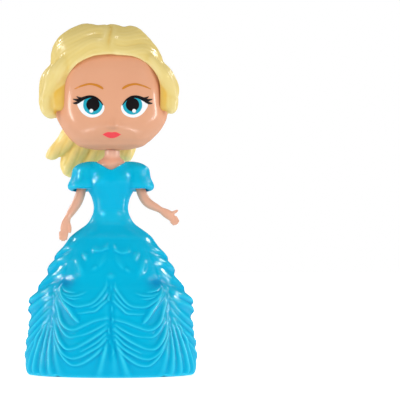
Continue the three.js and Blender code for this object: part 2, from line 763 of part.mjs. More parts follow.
function hairMass(grow = 0) {
  const shares = [...steps(0.08, 0.94, HEAD_LEVELS), 0.975, 1];
  return loft(
    shares.map((share) => {
      const [width, front, back] = hairShape(share);
      return levelRing({
        z: share * hairHeight,
        x: -HAIR_OFFSET * smoothstep(share, 0.4, 1),
        half: HAIR_HALF_WIDTH * width + grow,
        front: HAIR_FRONT * front + grow,
        back: HAIR_BACK * back + grow,
        power: HAIR_POWER,
        sides: HEAD_SIDES,
        relief: (angle) => combed(angle, share),
      });
    }),
  );
}

// Lock of a side roll from the bottom to the top: share of its length, share of the roll's reach, size
const ROLL_PATH = [
  [0, 0.85, 0.5],
  [0.14, 0.97, 0.85],
  [0.35, 1, 1],
  [0.55, 0.94, 1.05],
  [0.72, 0.77, 1],
  [0.86, 0.66, 0.85],
  [1, 0.56, 0.5],
];

function roll(side) {
  const reach = side > 0 ? LEFT_ROLL_REACH : RIGHT_ROLL_REACH;
  const sections = ROLL_PATH.map(([share, , size]) => [share, size, size]);
  return joined(
    ...ROLL_LOCKS.map(({ ahead, half, deep }) => {
      const points = ROLL_PATH.map(([share, out]) => {
        const lean = -ROLL_LEAN * smoothstep(share, 0.4, 1);
        const up = lerp(ROLL_BOTTOM_SHARE, ROLL_TOP_SHARE, share);
        return at(side * reach * out + lean, -ROLL_AHEAD * ahead, HEAD_HEIGHT * up);
      });
      const sizes = sized(sections, ROLL_HALF_WIDTH * half, ROLL_HALF_DEPTH * deep);
      return limb(points, sizes, LOCK_LEVELS, LOCK_SIDES);
    }),
  );
}

const hairWhole = () => joined(hairMass(), roll(-1), roll(1));

// Face opening: straight sides up to the spring line, then a round arch
function faceWindow() {
  const shape = new THREE.Shape();
  const low = -HEAD_HEIGHT;
  shape.moveTo(HAIRLINE_CENTRE - HAIRLINE_HALF_WIDTH, low);
  shape.lineTo(HAIRLINE_CENTRE + HAIRLINE_HALF_WIDTH, low);
  for (const angle of steps(0, Math.PI, 18)) {
    const across = Math.sign(Math.cos(angle)) * Math.abs(Math.cos(angle)) ** (2 / HAIRLINE_POWER);
    const up = Math.sin(angle) ** (2 / HAIRLINE_POWER);
    shape.lineTo(
      HAIRLINE_CENTRE + HAIRLINE_HALF_WIDTH * across,
      hairlineSpring + (hairlineHeight - hairlineSpring) * up,
    );
  }
  const depth = 2 * HAIR_FRONT;
  const geometry = new THREE.ExtrudeGeometry(shape, { depth, bevelEnabled: false });
  geometry.rotateX(Math.PI / 2);
  geometry.translate(0, HEAD_SPLIT, 0);
  return solid(geometry);
}

function hairFront() {
  const front = hairWhole().intersect(frontOf(HEAD_SPLIT - PARTING_GAP / 2));
  return cut(front, headForm(FIT_GAP), faceWindow());
}

// Locks of the tail from the root to the tip. Each row has shares of the reach to its side, of the standoff
// and of the drop, then the size; a drop below 0 lies above the neck.
const TAIL_LOCKS = [
  {
    reach: -RIGHT_TAIL_REACH,
    rows: [
      [0.3, 0.86, -1.2, 0.95],
      [0.52, 0.9, -0.9, 1],
      [0.7, 0.91, -0.4, 0.98],
      [0.84, 0.89, -0.02, 0.8],
      [0.94, 0.86, 0.18, 0.58],
      [1, 0.84, 0.26, 0.3],
    ],
  },
  {
    reach: -RIGHT_TAIL_REACH,
    rows: [
      [0.25, 1.04, -1, 1],
      [0.4, 1.07, -0.5, 1.04],
      [0.58, 1.07, 0.08, 1.04],
      [0.66, 1.04, 0.6, 0.8],
      [0.64, 1, 1, 0.3],
    ],
  },
  {
    reach: -RIGHT_TAIL_REACH,
    rows: [
      [0.05, 1.09, -1, 1.05],
      [0.13, 1.11, -0.4, 1.05],
      [0.32, 1.11, 0.25, 0.85],
      [0.46, 1.07, 0.76, 0.3],
    ],
  },
  {
    reach: LEFT_TAIL_REACH,
    rows: [
      [0.7, 1.02, -1, 0.95],
      [0.9, 1.03, -0.4, 0.95],
      [1, 1, 0, 0.85],
      [0.8, 0.96, 0.38, 0.4],
    ],
  },
];

function tailLock({ reach, rows }) {
  const points = rows.map(([out, back, down]) => at(reach * out, TAIL_STANDOFF * back, -TAIL_DROP * down));
  const sections = rows.map((row, i) => [i / (rows.length - 1), row[3], row[3]]);
  return limb(points, sized(sections, TAIL_RADIUS), LOCK_LEVELS, LOCK_SIDES);
}

const tailMass = () => joined(...TAIL_LOCKS.map(tailLock));

// Peg half way through the thickness of the hair at the nape
function tailPeg(gap = 0) {
  const inside = headSection(TAIL_PEG_TOP / HEAD_HEIGHT).back - HEAD_WALL;
  const outside = HAIR_BACK * hairShape(TAIL_PEG_TOP / hairHeight)[2];
  const y = (inside + outside) / 2;
  return rod(TAIL_PEG_RADIUS + gap, at(-TAIL_PEG_OUT, y, SEAT_GAP), at(-TAIL_PEG_OUT, y, TAIL_PEG_TOP + gap));
}

function hairTail() {
  return joined(cut(tailMass(), hairMass(FIT_GAP), headForm(FIT_GAP)), tailPeg());
}

// The hair back is one with the back of the head
function hairBack() {
  const whole = joined(hairWhole(), headForm()).intersect(behind(HEAD_SPLIT + PARTING_GAP / 2));
  return cut(whole, headForm(-HEAD_WALL), neckBoss(FIT_GAP), tailPeg(FIT_GAP));
}

function neckRetainer() {
  const inner = SPIGOT_RADIUS + RETAINER_CLEARANCE;
  const section = [
    new THREE.Vector2(inner, 0),
    new THREE.Vector2(RETAINER_RADIUS, 0),
    new THREE.Vector2(RETAINER_RADIUS, RETAINER_HEIGHT),
    new THREE.Vector2(inner, RETAINER_HEIGHT),
    new THREE.Vector2(inner, 0),
  ];
  const geometry = new THREE.LatheGeometry(section, ROD_SIDES);
  geometry.rotateX(Math.PI / 2);
  return solid(geometry);
}

const GOWN_BLUE = new THREE.MeshStandardMaterial({ color: 0x00bee6, roughness: 0.22, metalness: 0 });
const SKIN = new THREE.MeshStandardMaterial({ color: 0xe5a886, roughness: 0.45, metalness: 0 });
const HAIR_YELLOW = new THREE.MeshStandardMaterial({ color: 0xe8d57d, roughness: 0.4, metalness: 0 });
const STEEL = new THREE.MeshStandardMaterial({ color: 0xb8bcc0, roughness: 0.35, metalness: 1 });

function named(name, manifold, material) {
  const mesh = new THREE.Mesh(geometryOf(manifold), material);
  mesh.name = name;
  return mesh;
}

const doll = new THREE.Group();
const { front, back } = gownHalves();
doll.add(named("gown_front", front, GOWN_BLUE));
doll.add(named("gown_back", back, GOWN_BLUE));
doll.add(named("base_plate", basePlate(), GOWN_BLUE));
doll.add(named("bust", bust(), SKIN));

const retainer = named("neck_retainer", neckRetainer(), SKIN);
retainer.position.z = retainerZ;
doll.add(retainer);

POST_ANGLES.forEach((degrees, i) => {
  const screw = named(`base_screw_${i + 1}`, baseScrew(), STEEL);
  screw.position.copy(postPlace(degrees)).setZ(SCREW_SINK);
  doll.add(screw);
});

const head = new THREE.Group();
head.position.z = neckTopZ;
head.add(named("face_shell", faceShell(), SKIN));
head.add(named("hair_front", hairFront(), HAIR_YELLOW));
head.add(named("hair_back", hairBack(), HAIR_YELLOW));
head.add(named("hair_tail", hairTail(), HAIR_YELLOW));
doll.add(head);

for (const [name, side, shape] of [["right_arm", -1, RIGHT_ARM], ["left_arm", 1, LEFT_ARM]]) {
  const limbMesh = named(name, arm(side, shape), SKIN);
  limbMesh.position.set(side * SHOULDER_OUT, 0, pivotZ);
  doll.add(limbMesh);
}

export default doll;
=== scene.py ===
# %% [markdown]
# # A moulded princess doll
# The doll is a handful of plastic mouldings: a glossy gown in two halves, a
# bust, two arms, a big head with a printed face, and hair in three pieces.
# The solids that carry the joints are loaded first, and stay where they are.
# Every piece below is modelled around them, in millimetres, and then scaled.

# %% Load the frame
import json
import math

import bpy
import numpy as np
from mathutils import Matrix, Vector


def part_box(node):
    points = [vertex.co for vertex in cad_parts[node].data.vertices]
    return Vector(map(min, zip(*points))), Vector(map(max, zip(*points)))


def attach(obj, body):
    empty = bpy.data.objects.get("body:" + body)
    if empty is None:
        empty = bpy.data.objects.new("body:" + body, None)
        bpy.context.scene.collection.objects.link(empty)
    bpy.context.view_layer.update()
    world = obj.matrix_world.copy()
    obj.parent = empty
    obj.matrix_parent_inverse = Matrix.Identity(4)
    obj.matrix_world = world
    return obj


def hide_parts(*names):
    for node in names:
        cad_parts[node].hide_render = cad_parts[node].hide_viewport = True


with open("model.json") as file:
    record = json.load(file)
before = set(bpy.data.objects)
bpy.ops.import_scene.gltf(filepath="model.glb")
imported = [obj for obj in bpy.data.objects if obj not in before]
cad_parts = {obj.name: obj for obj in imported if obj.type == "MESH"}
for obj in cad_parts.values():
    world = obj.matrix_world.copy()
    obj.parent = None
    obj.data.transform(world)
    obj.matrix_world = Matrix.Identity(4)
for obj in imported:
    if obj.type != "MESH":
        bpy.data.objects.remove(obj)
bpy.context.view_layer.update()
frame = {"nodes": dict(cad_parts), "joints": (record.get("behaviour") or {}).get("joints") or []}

MM = 0.001
# The doll's right side lies at negative x, and its left side at positive x
SIDES = (-1, 1)

# %% [markdown]
# ## Sizes that come from the frame
# A modelled piece has to sit where its solid sits, so the main sizes are read
# from the solids' boxes. What a box can't tell, such as the height of the
# waist, is written here as a real size of the doll.

# %% Read the main sizes
def node_box(node):
    """Lowest and highest corner of a solid, in millimetres."""
    low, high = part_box(node)
    return Vector(low) / MM, Vector(high) / MM


gown_high = node_box("gown_front")[1]
face_low, face_high = node_box("face_shell")
SHOULDER_Z = gown_high.z
WAIST_Z = 56.8
HEAD_HALF_WIDTH = face_high.x
HEAD_Z = face_low.z
HEAD_HEIGHT = face_high.z - face_low.z
print(f"shoulder at {SHOULDER_Z:.1f} mm, head {2 * HEAD_HALF_WIDTH:.1f} wide and {HEAD_HEIGHT:.1f} tall")

# %% [markdown]
# ## Helpers
# Moulded forms such as a draped skirt can't be pulled out of a primitive with
# transforms alone. A fine flat grid is added instead, and each of its points
# is moved to where the form's own rule says. The rules are made of a few
# curves, and the other helpers weld, join and reskin such grids.

# %% Define the curves
def smooth_run(*rows):
    """A smooth curve through rows of (place, value, ...), as a function of the place."""
    table = np.array(rows, float)
    place = table[:, 0]
    values = table[:, 1:]
    slopes = np.gradient(values, place, axis=0)

    def at(where):
        x = np.clip(np.asarray(where, float), place[0], place[-1])
        i = np.clip(np.searchsorted(place, x, side="right") - 1, 0, len(place) - 2)
        span = (place[i + 1] - place[i])[..., None]
        t = (x[..., None] - place[i][..., None]) / span
        rise = values[i] + (values[i + 1] - values[i]) * (3 - 2 * t) * t * t
        bend = span * t * (1 - t) * (slopes[i] * (1 - t) - slopes[i + 1] * t)
        return np.moveaxis(rise + bend, -1, 0)

    return at


def mix(a, b, share):
    """The value at a share of the way from a to b."""
    return a + (b - a) * share


def ramp(x, start, end):
    """0 before start, 1 after end, and an even S between them."""
    t = np.clip((x - start) / (end - start), 0, 1)
    return t * t * (3 - 2 * t)


def bump(distance, width):
    """A round hill that is 1 at no distance and almost 0 at two widths."""
    return np.exp(-((distance / width) ** 2))


def rounded(value, power):
    """A sine or cosine bent so that a circle becomes a rounded box."""
    return np.sign(value) * np.abs(value) ** (2 / power)


def ring(u, close, half, front, back, power=2):
    """Points round an oval with a depth in front and behind, shrunk by close, boxier with more power."""
    turn = 2 * np.pi * u
    ahead = rounded(np.cos(turn), power)
    return half * close * rounded(np.sin(turn), power), -np.where(ahead > 0, front, back) * close * ahead


# %% Define the helpers for meshes
WELDED = (bpy.ops.mesh.remove_doubles, dict(threshold=0.004 * MM))
OUTWARDS = (bpy.ops.mesh.normals_make_consistent, dict(inside=False))


def only(piece):
    """Makes one object the only selected and active one."""
    bpy.ops.object.select_all(action="DESELECT")
    piece.select_set(True)
    bpy.context.view_layer.objects.active = piece


def points_of(piece):
    """The points of a mesh as rows of x, y, z in millimetres."""
    flat = np.empty(len(piece.data.vertices) * 3)
    piece.data.vertices.foreach_get("co", flat)
    return flat.reshape(-1, 3) / MM


def normals_of(piece):
    """The normals of a mesh's points."""
    flat = np.empty(len(piece.data.vertices) * 3)
    piece.data.vertices.foreach_get("normal", flat)
    return flat.reshape(-1, 3)


def move_points(piece, points):
    """Moves the points of a mesh to rows of x, y, z in millimetres."""
    piece.data.vertices.foreach_set("co", (points * MM).ravel())
    piece.data.update()


def mapped(name, columns, rows, place):
    """A flat grid whose points are moved to place(u, v), with u and v from 0 to 1."""
    bpy.ops.object.select_all(action="DESELECT")
    bpy.ops.mesh.primitive_grid_add(x_subdivisions=columns, y_subdivisions=rows, size=MM)
    piece = bpy.context.object
    piece.name = name
    flat = points_of(piece) + 0.5
    move_points(piece, np.stack(place(flat[:, 0], flat[:, 1]), axis=1))
    return piece


def edit_mesh(piece, *steps):
    """Runs mesh operators, each with its settings, on all of a piece."""
    only(piece)
    bpy.ops.object.mode_set(mode="EDIT")
    bpy.ops.mesh.select_all(action="SELECT")
    for operator, settings in steps:
        operator(**settings)
    bpy.ops.object.mode_set(mode="OBJECT")


def close_up(piece, sharp_degrees=180):
    """Welds seams and poles, fills what is still open and turns the faces outwards."""
    edit_mesh(piece, WELDED, (bpy.ops.mesh.fill_holes, dict(sides=0)), OUTWARDS)
    bpy.ops.object.shade_smooth_by_angle(angle=math.radians(sharp_degrees))
    print(f"{piece.name}: {len(piece.data.vertices)} points, {len(piece.data.polygons)} faces")
    return piece


def joined(name, pieces):
    """Joins pieces into one."""
    only(pieces[0])
    for piece in pieces:
        piece.select_set(True)
    if len(pieces) > 1:
        bpy.ops.object.join()
    whole = bpy.context.object
    whole.name = name
    return whole


def apply_modifier(piece, kind, **settings):
    """Adds a modifier with its settings and applies it."""
    modifier = piece.modifiers.new(kind.lower(), kind)
    for label, value in settings.items():
        setattr(modifier, label, value)
    only(piece)
    bpy.ops.object.modifier_apply(modifier=modifier.name)


def reskin(piece, voxel, softening):
    """Gives a mesh one even skin by a voxel remesh, and softens it."""
    apply_modifier(piece, "REMESH", mode="VOXEL", voxel_size=voxel * MM)
    apply_modifier(piece, "SMOOTH", factor=0.5, iterations=softening)
    bpy.ops.object.shade_smooth()


# %% [markdown]
# ## Camera
# The doll is seen straight from the front, level and from far away. A long
# lens keeps the big head from bulging. The camera stands at the height of the
# hips, so the hem is seen a little from above. The doll stands left of the
# middle of the picture, so the frame is shifted and the camera isn't turned.

# %% Add the camera
PICTURE_WIDTH = 137.2
CAMERA_DISTANCE = 900.0
CAMERA_HEIGHT = 45.0
FRAME_CENTRE_X = 30.55
FRAME_CENTRE_Z = 59.8
SENSOR = 36.0
NEAREST = 50.0

camera_data = bpy.data.cameras.new("camera")
camera_data.sensor_width = SENSOR
camera_data.lens = SENSOR * CAMERA_DISTANCE / PICTURE_WIDTH
camera_data.shift_x = FRAME_CENTRE_X / PICTURE_WIDTH
camera_data.shift_y = (FRAME_CENTRE_Z - CAMERA_HEIGHT) / PICTURE_WIDTH
camera_data.clip_start = NEAREST * MM
camera = bpy.data.objects.new("camera", camera_data)
camera.location = (0, -CAMERA_DISTANCE * MM, CAMERA_HEIGHT * MM)
camera.rotation_euler = (math.radians(90), 0, 0)
bpy.context.scene.collection.objects.link(camera)
bpy.context.scene.camera = camera
print(f"camera: {camera_data.lens:.0f} mm lens")

# %% [markdown]
# ## Light and floor
# The doll stands in a white tent, so light comes from all round and shadows
# are faint. The gloss comes from boxes in pairs, one at each side. An upright
# strip close to the doll draws the streaks on the cheeks and the waist, and a
# strip below it, gridded so that the gown stays clear of it, runs on under the
# cheeks. Gridded boxes at the front corners put spots on the hips, and nearer
# ones on the bust and the sleeves. Boxes beside, behind and overhead catch the
# swells of the outline. All of these show in the gloss alone, and the fills at
# the sides and behind only light. Mirrored rays see a dimmer tent, darkest
# behind the camera, which keeps the blue deep. The floor is a white sheet that
# keeps a soft shadow and throws light back up.

# %% Define the helpers for nodes
def new_material(name):
    """A new material, its node tree and its shader."""
    material = bpy.data.materials.new(name)
    material.use_nodes = True
    return material, material.node_tree, material.node_tree.nodes["Principled BSDF"]


def set_inputs(node, values):
    """Sets the inputs of a node by name or number."""
    for label, value in values.items():
        node.inputs[label].default_value = value


def add_node(tree, kind, values=None, **settings):
    """Adds a node, sets its properties by name, and then its inputs."""
    node = tree.nodes.new(kind)
    for label, value in settings.items():
        setattr(node, label, value)
    set_inputs(node, values or {})
    return node


def wire(tree, *rows):
    """Links nodes by rows of (node, its output, next node, its input)."""
    for source, output, target, entry in rows:
        tree.links.new(source.outputs[output], target.inputs[entry])


# %% Add the world
WHITE = (1, 1, 1, 1)
WORLD_FILL = 0.6
# The tent that the gloss sees, behind the camera and at the sides
FRONT_GLOSS = 0.05
SIDE_GLOSS = 0.2

scene = bpy.context.scene
scene.view_settings.view_transform = "Standard"
world = bpy.data.worlds.new("studio")
scene.world = world
world.use_nodes = True
world.cycles.sampling_method = "NONE"
tree = world.node_tree
tree.nodes.clear()
fill = add_node(tree, "ShaderNodeBackground", {"Color": WHITE, "Strength": WORLD_FILL})
white = add_node(tree, "ShaderNodeBackground", {"Color": WHITE})
path = add_node(tree, "ShaderNodeLightPath")
pick = add_node(tree, "ShaderNodeMixShader")
out = add_node(tree, "ShaderNodeOutputWorld")
camera_or_gloss = add_node(tree, "ShaderNodeMath", operation="ADD")
or_glass = add_node(tree, "ShaderNodeMath", operation="ADD", use_clamp=True)
towards = add_node(tree, "ShaderNodeTexCoord")
parts = add_node(tree, "ShaderNodeSeparateXYZ")
tent = {"From Min": -0.9, "From Max": -0.1, "To Min": FRONT_GLOSS, "To Max": SIDE_GLOSS}
dim = add_node(tree, "ShaderNodeMapRange", tent, interpolation_type="SMOOTHSTEP")
seen_white = add_node(tree, "ShaderNodeMath", operation="MAXIMUM")
wire(
    tree,
    (path, "Is Camera Ray", camera_or_gloss, 0),
    (path, "Is Glossy Ray", camera_or_gloss, 1),
    (camera_or_gloss, "Value", or_glass, 0),
    (path, "Is Transmission Ray", or_glass, 1),
    (or_glass, "Value", pick, "Fac"),
    (fill, "Background", pick, 1),
    (white, "Background", pick, 2),
    (pick, "Shader", out, "Surface"),
    (towards, "Generated", parts, "Vector"),
    (parts, "Y", dim, "Value"),
    (dim, "Result", seen_white, 0),
    (path, "Is Camera Ray", seen_white, 1),
    (seen_white, "Value", white, "Strength"),
)
print("world: fill", WORLD_FILL)

# %% Add the lamps
# Degrees to the side and up, distance, width, height, power, the height it faces, and what differs
PAIRS = {
    "side_box": (80.5, 0, 150, 4.5, 100, 0.24, 53, dict(swing=3.5)),
    "high_box": (104, 28, 520, 18, 80, 0.5, 60, dict()),
    "key_box": (57, 22, 520, 90, 70, 0.0065, 50, dict(beam=6)),
    "bust_box": (57, 24, 200, 28, 20, 0.008, 66, dict(beam=12)),
    "low_box": (56, -62, 74.6, 64, 2, 0.0014, 110.9, dict(beam=50)),
    "rim_box": (132, 30, 520, 70, 70, 0.6, 40, dict()),
    "side_fill": (58, 14, 600, 260, 200, 0.85, 60, dict(gloss=False)),
    "back_fill": (140, 12, 480, 200, 200, 0.4, 60, dict(gloss=False)),
}
TOP_BOX = (0, 86, 520, 70, 70, 0.5, 60)


def soft_box(name, side, angle, height, distance, width, tall, power, lift, gloss=True, beam=180, swing=0):
    """An area lamp at an angle to one side and up, that faces the doll at a height of lift."""
    turn = math.radians(side * angle + swing)
    rise = math.radians(height)
    target = Vector((0, 0, lift))
    away = Vector((math.sin(turn) * math.cos(rise), -math.cos(turn) * math.cos(rise), math.sin(rise)))
    lamp = bpy.data.lights.new(name, "AREA")
    lamp.shape = "RECTANGLE"
    lamp.size = width * MM
    lamp.size_y = tall * MM
    lamp.energy = power
    lamp.spread = math.radians(beam)
    holder = bpy.data.objects.new(name, lamp)
    holder.location = (target + away * distance) * MM
    holder.rotation_euler = (-away).to_track_quat("-Z", "Y").to_euler()
    holder.visible_glossy = gloss
    holder.visible_diffuse = not gloss
    holder.visible_camera = False
    scene.collection.objects.link(holder)


for side in SIDES:
    for name, (*place, extra) in PAIRS.items():
        soft_box(f"{name}_{side:+d}", side, *place, **extra)
soft_box("top_box", 1, *TOP_BOX)

# %% Lay the floor
FLOOR_RADIUS = 3000
FLOOR_SIDES = 96
FLOOR_DROP = 0.05
FLOOR_WHITE = 0.86
# How much the sheet glows by itself, and how much more where the camera sees it
FLOOR_GLOW = 0.3
FLOOR_LIFT = 0.4

bpy.ops.object.select_all(action="DESELECT")
bpy.ops.mesh.primitive_circle_add(
    vertices=FLOOR_SIDES, radius=FLOOR_RADIUS * MM, fill_type="NGON", location=(0, 0, -FLOOR_DROP * MM)
)
floor = bpy.context.object
floor.name = "floor"
bpy.ops.object.transform_apply(location=True, rotation=False, scale=False)

sheet, tree, surface = new_material("floor_sheet")
set_inputs(surface, {
    "Base Color": (FLOOR_WHITE, FLOOR_WHITE, FLOOR_WHITE, 1),
    "Roughness": 0.9,
    "Specular IOR Level": 0.1,
    "Emission Color": WHITE,
})
seen = add_node(tree, "ShaderNodeLightPath")
lift = add_node(tree, "ShaderNodeMath", {1: FLOOR_LIFT, 2: FLOOR_GLOW}, operation="MULTIPLY_ADD")
wire(tree, (seen, "Is Camera Ray", lift, 0), (lift, "Value", surface, "Emission Strength"))
floor.data.materials.append(sheet)
print(f"floor: {2 * FLOOR_RADIUS} mm across")

# %% [markdown]
# ## Finishes
# All the doll's plastics come out of a mould, so they share one effect: tone
# that drifts a little, gloss that is broken by faint flow marks, and a fine
# grain. That is one node group, and each plastic sets its own values. The
# mesh carries its hollows and crests in attributes, and the finish paints
# shade into the hollows and a highlight along the crests.

# %% Build the shared surface group
# Flow marks are noise that is stretched along the height
MARK_STRETCH = (1, 1, 0.25)


def moulded_surface():
    """Tone, roughness and height of a moulded plastic surface."""
    tree = bpy.data.node_groups.new("moulded_surface", "ShaderNodeTree")
    sockets = tree.interface
    sockets.new_socket(name="Place", in_out="INPUT", socket_type="NodeSocketVector")
    for label in ("Drift scale", "Grain scale", "Roughness", "Roughness spread"):
        sockets.new_socket(name=label, in_out="INPUT", socket_type="NodeSocketFloat")
    for label in ("Tone", "Roughness", "Height"):
        sockets.new_socket(name=label, in_out="OUTPUT", socket_type="NodeSocketFloat")
    given = tree.nodes.new("NodeGroupInput")
    result = tree.nodes.new("NodeGroupOutput")
    drift = add_node(tree, "ShaderNodeTexNoise", {"Detail": 3})
    marks = add_node(tree, "ShaderNodeTexNoise", {"Detail": 2})
    grain = add_node(tree, "ShaderNodeTexNoise", {"Detail": 2})
    stretch = add_node(tree, "ShaderNodeMapping", {"Scale": MARK_STRETCH})
    centre = add_node(tree, "ShaderNodeMath", {1: 0.5}, operation="SUBTRACT")
    spread = add_node(tree, "ShaderNodeMath", operation="MULTIPLY_ADD")
    wire(
        tree,
        (given, "Place", drift, "Vector"),
        (given, "Drift scale", drift, "Scale"),
        (given, "Place", stretch, "Vector"),
        (stretch, "Vector", marks, "Vector"),
        (given, "Drift scale", marks, "Scale"),
        (given, "Place", grain, "Vector"),
        (given, "Grain scale", grain, "Scale"),
        (marks, "Fac", centre, 0),
        (centre, "Value", spread, 0),
        (given, "Roughness spread", spread, 1),
        (given, "Roughness", spread, 2),
        (drift, "Fac", result, "Tone"),
        (spread, "Value", result, "Roughness"),
        (grain, "Fac", result, "Height"),
    )
    return tree


MOULDED = moulded_surface()
print("surface group:", [s.name for s in MOULDED.interface.items_tree])


# %% Define a plastic finish
def linear(red, green, blue):
    """A colour as it is seen, from 0 to 255, as the linear colour that a shader takes."""
    def channel(value):
        share = value / 255
        return share / 12.92 if share <= 0.04045 else ((share + 0.055) / 1.055) ** 2.4

    return (channel(red), channel(green), channel(blue), 1)


# Share of the gloss that is left where a surface is seen at a slant
SLANT_GLOSS = 0.02


def moulded_material(name, light, deep, roughness, spread, depth, drift=60, grain=2600, strength=0.4):
    """A material with the shared roughness and grain, and its two tones, which aren't linked to it yet."""
    material, tree, shader = new_material(name)
    place = add_node(tree, "ShaderNodeTexCoord")
    moulded = add_node(tree, "ShaderNodeGroup", node_tree=MOULDED)
    set_inputs(moulded, {"Drift scale": drift, "Grain scale": grain})
    set_inputs(moulded, {"Roughness": roughness, "Roughness spread": spread})
    tones = add_node(tree, "ShaderNodeMix", {"A": deep, "B": light}, data_type="RGBA")
    relief = add_node(tree, "ShaderNodeBump", {"Distance": depth * MM, "Strength": strength})
    wire(
        tree,
        (place, "Object", moulded, "Place"),
        (moulded, "Tone", tones, "Factor"),
        (moulded, "Roughness", shader, "Roughness"),
        (moulded, "Height", relief, "Height"),
        (relief, "Normal", shader, "Normal"),
    )
    return material, tree, shader, tones


def plastic(name, colours, roughness, spread, grain_depth, level):
    """A moulded plastic with its light and deep colour, and the painted shade of its hollows and highlight
    of its crests.
    """
    light, deep, hollow, crest = [linear(*colour) for colour in colours]
    material, tree, shader, tones = moulded_material(name, light, deep, roughness, spread, grain_depth)
    # The hollow tint is painted shade and the crest tint painted highlight, each laid on as far as the
    # mesh's attribute says
    for attribute, tint in (("painted_shade", hollow), ("crest", crest)):
        amount = add_node(tree, "ShaderNodeAttribute", attribute_name=attribute)
        tinted = add_node(tree, "ShaderNodeMix", {"B": tint}, data_type="RGBA")
        wire(tree, (tones, "Result", tinted, "A"), (amount, "Fac", tinted, "Factor"))
        tones = tinted
    slant = add_node(tree, "ShaderNodeLayerWeight")
    fade = {"From Min": 0.4, "From Max": 0.8, "To Min": level, "To Max": level * SLANT_GLOSS}
    sheen = add_node(tree, "ShaderNodeMapRange", fade, interpolation_type="SMOOTHSTEP")
    wire(
        tree,
        (tones, "Result", shader, "Base Color"),
        (slant, "Facing", sheen, "Value"),
        (sheen, "Result", shader, "Specular IOR Level"),
    )
    return material


# %% Mix the plastics
# Each plastic gives its light and deep tone, then the painted shade for its hollows and the painted
# highlight for its crests
GOWN_BLUE = plastic(
    "gown_blue", ((0, 190, 230), (0, 180, 222), (0, 150, 204), (60, 222, 250)),
    roughness=0.16, spread=0.06, grain_depth=0.01, level=0.1,
)
SKIN_TONE = plastic(
    "skin_tone", ((232, 172, 138), (226, 163, 128), (205, 130, 100), (240, 190, 162)),
    roughness=0.22, spread=0.1, grain_depth=0.012, level=0.13,
)
# The body's skin is the face's skin painted lighter, a painted light mostly for the neck that the big head
# shades
BODY_SKIN_PAINTED_LIGHTER = plastic(
    "body_skin_painted_lighter", ((242, 186, 158), (236, 177, 148), (222, 152, 124), (248, 200, 176)),
    roughness=0.22, spread=0.1, grain_depth=0.012, level=0.15,
)
HAIR_GOLD = plastic(
    "hair_gold", ((238, 214, 138), (228, 203, 118), (232, 186, 78), (246, 230, 170)),
    roughness=0.23, spread=0.14, grain_depth=0.015, level=0.14,
)
# The tail's gold is the hair's gold painted lighter, a painted light for the tail that sits in the head's
# shade
TAIL_GOLD_PAINTED_LIGHTER = plastic(
    "tail_gold_painted_lighter", ((253, 226, 140), (248, 216, 122), (240, 192, 90), (252, 236, 176)),
    roughness=0.28, spread=0.14, grain_depth=0.015, level=0.14,
)
print("finishes:", [m.name for m in (GOWN_BLUE, SKIN_TONE, BODY_SKIN_PAINTED_LIGHTER, HAIR_GOLD, TAIL_GOLD_PAINTED_LIGHTER)])


def set_painted_shade_and_light(piece, values):
    """Keeps the painted shade of each point, as in a hollow, or its painted highlight, as on a crest, for
    the finish.
    """
    for name, sign in (("painted_shade", 1), ("crest", -1)):
        layer = piece.data.attributes.new(name, "FLOAT", "POINT")
        layer.data.foreach_set("value", np.clip(sign * values, 0, 1).astype(np.float32))


def dress(piece, finish, body, slot, *nodes):
    """Gives a piece its finish, the body that carries it and the solids that it stands for."""
    piece.data.materials.clear()
    piece.data.materials.append(finish)
    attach(piece, body)
    if nodes:
        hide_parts(*nodes)


# %% [markdown]
# ## Skirt
# The skirt is the showpiece: its cloth is gathered up at six upright columns
# and hangs between them in swags. In the mould all of that is one thick shell,
# split into a front and a back half. Cloth could be simulated, but this drape
# was carved, with every fold in a chosen place. So each fold is a short list
# of places on the skirt, with how far it stands out there, and the skirt's
# grid is pushed out along all of them. Where two folds meet, the higher one
# wins, which leaves the sharp valley that gathered cloth has.

# %% Set out the plain skirt
HEM_HALF_WIDTH = 29.6
HEM_DEPTH_SHARE = 0.912
WAIST_DEPTH_SHARE = 0.84
HIP_Z = 42.0

# Height and half width
skirt_half_at = smooth_run(
    (0, 28.2), (0.8, 28.8), (2.2, 29.2), (5.5, 29.3), (11.7, 28.6), (17.2, 27.7), (22.6, 26.9),
    (26, 26.3), (28, 25.3), (29.6, 24.2), (31.6, 22.7), (34.5, 21.3), (37.3, 20.0), (39.4, 19.0),
    (41.6, 17.6), (43.5, 16.5), (45.7, 15.0), (47.1, 14.0), (48.5, 12.4), (49.8, 10.6), (51.2, 8.65),
    (52.5, 7.45), (53.9, 6.7), (55.25, 6.15), (WAIST_Z, 5.9),
)
# The front and the back fall straighter than the sides, by a little at each height
ease_at = smooth_run(
    (0, 0), (20, 0), (24, -0.4), (26, -0.65), (28, -0.55), (30, -0.15), (32, 0.15), (34, 0.12), (37, 0),
    (40, 0), (WAIST_Z, 0),
)


def skirt_section(z):
    """Half width and half depth of the plain skirt at a height."""
    half = skirt_half_at(z)[0]
    return half, half * mix(HEM_DEPTH_SHARE, WAIST_DEPTH_SHARE, ramp(z, HIP_Z, WAIST_Z))


print(f"skirt: {2 * skirt_section(0)[0]:.1f} mm wide at the hem before it is draped")

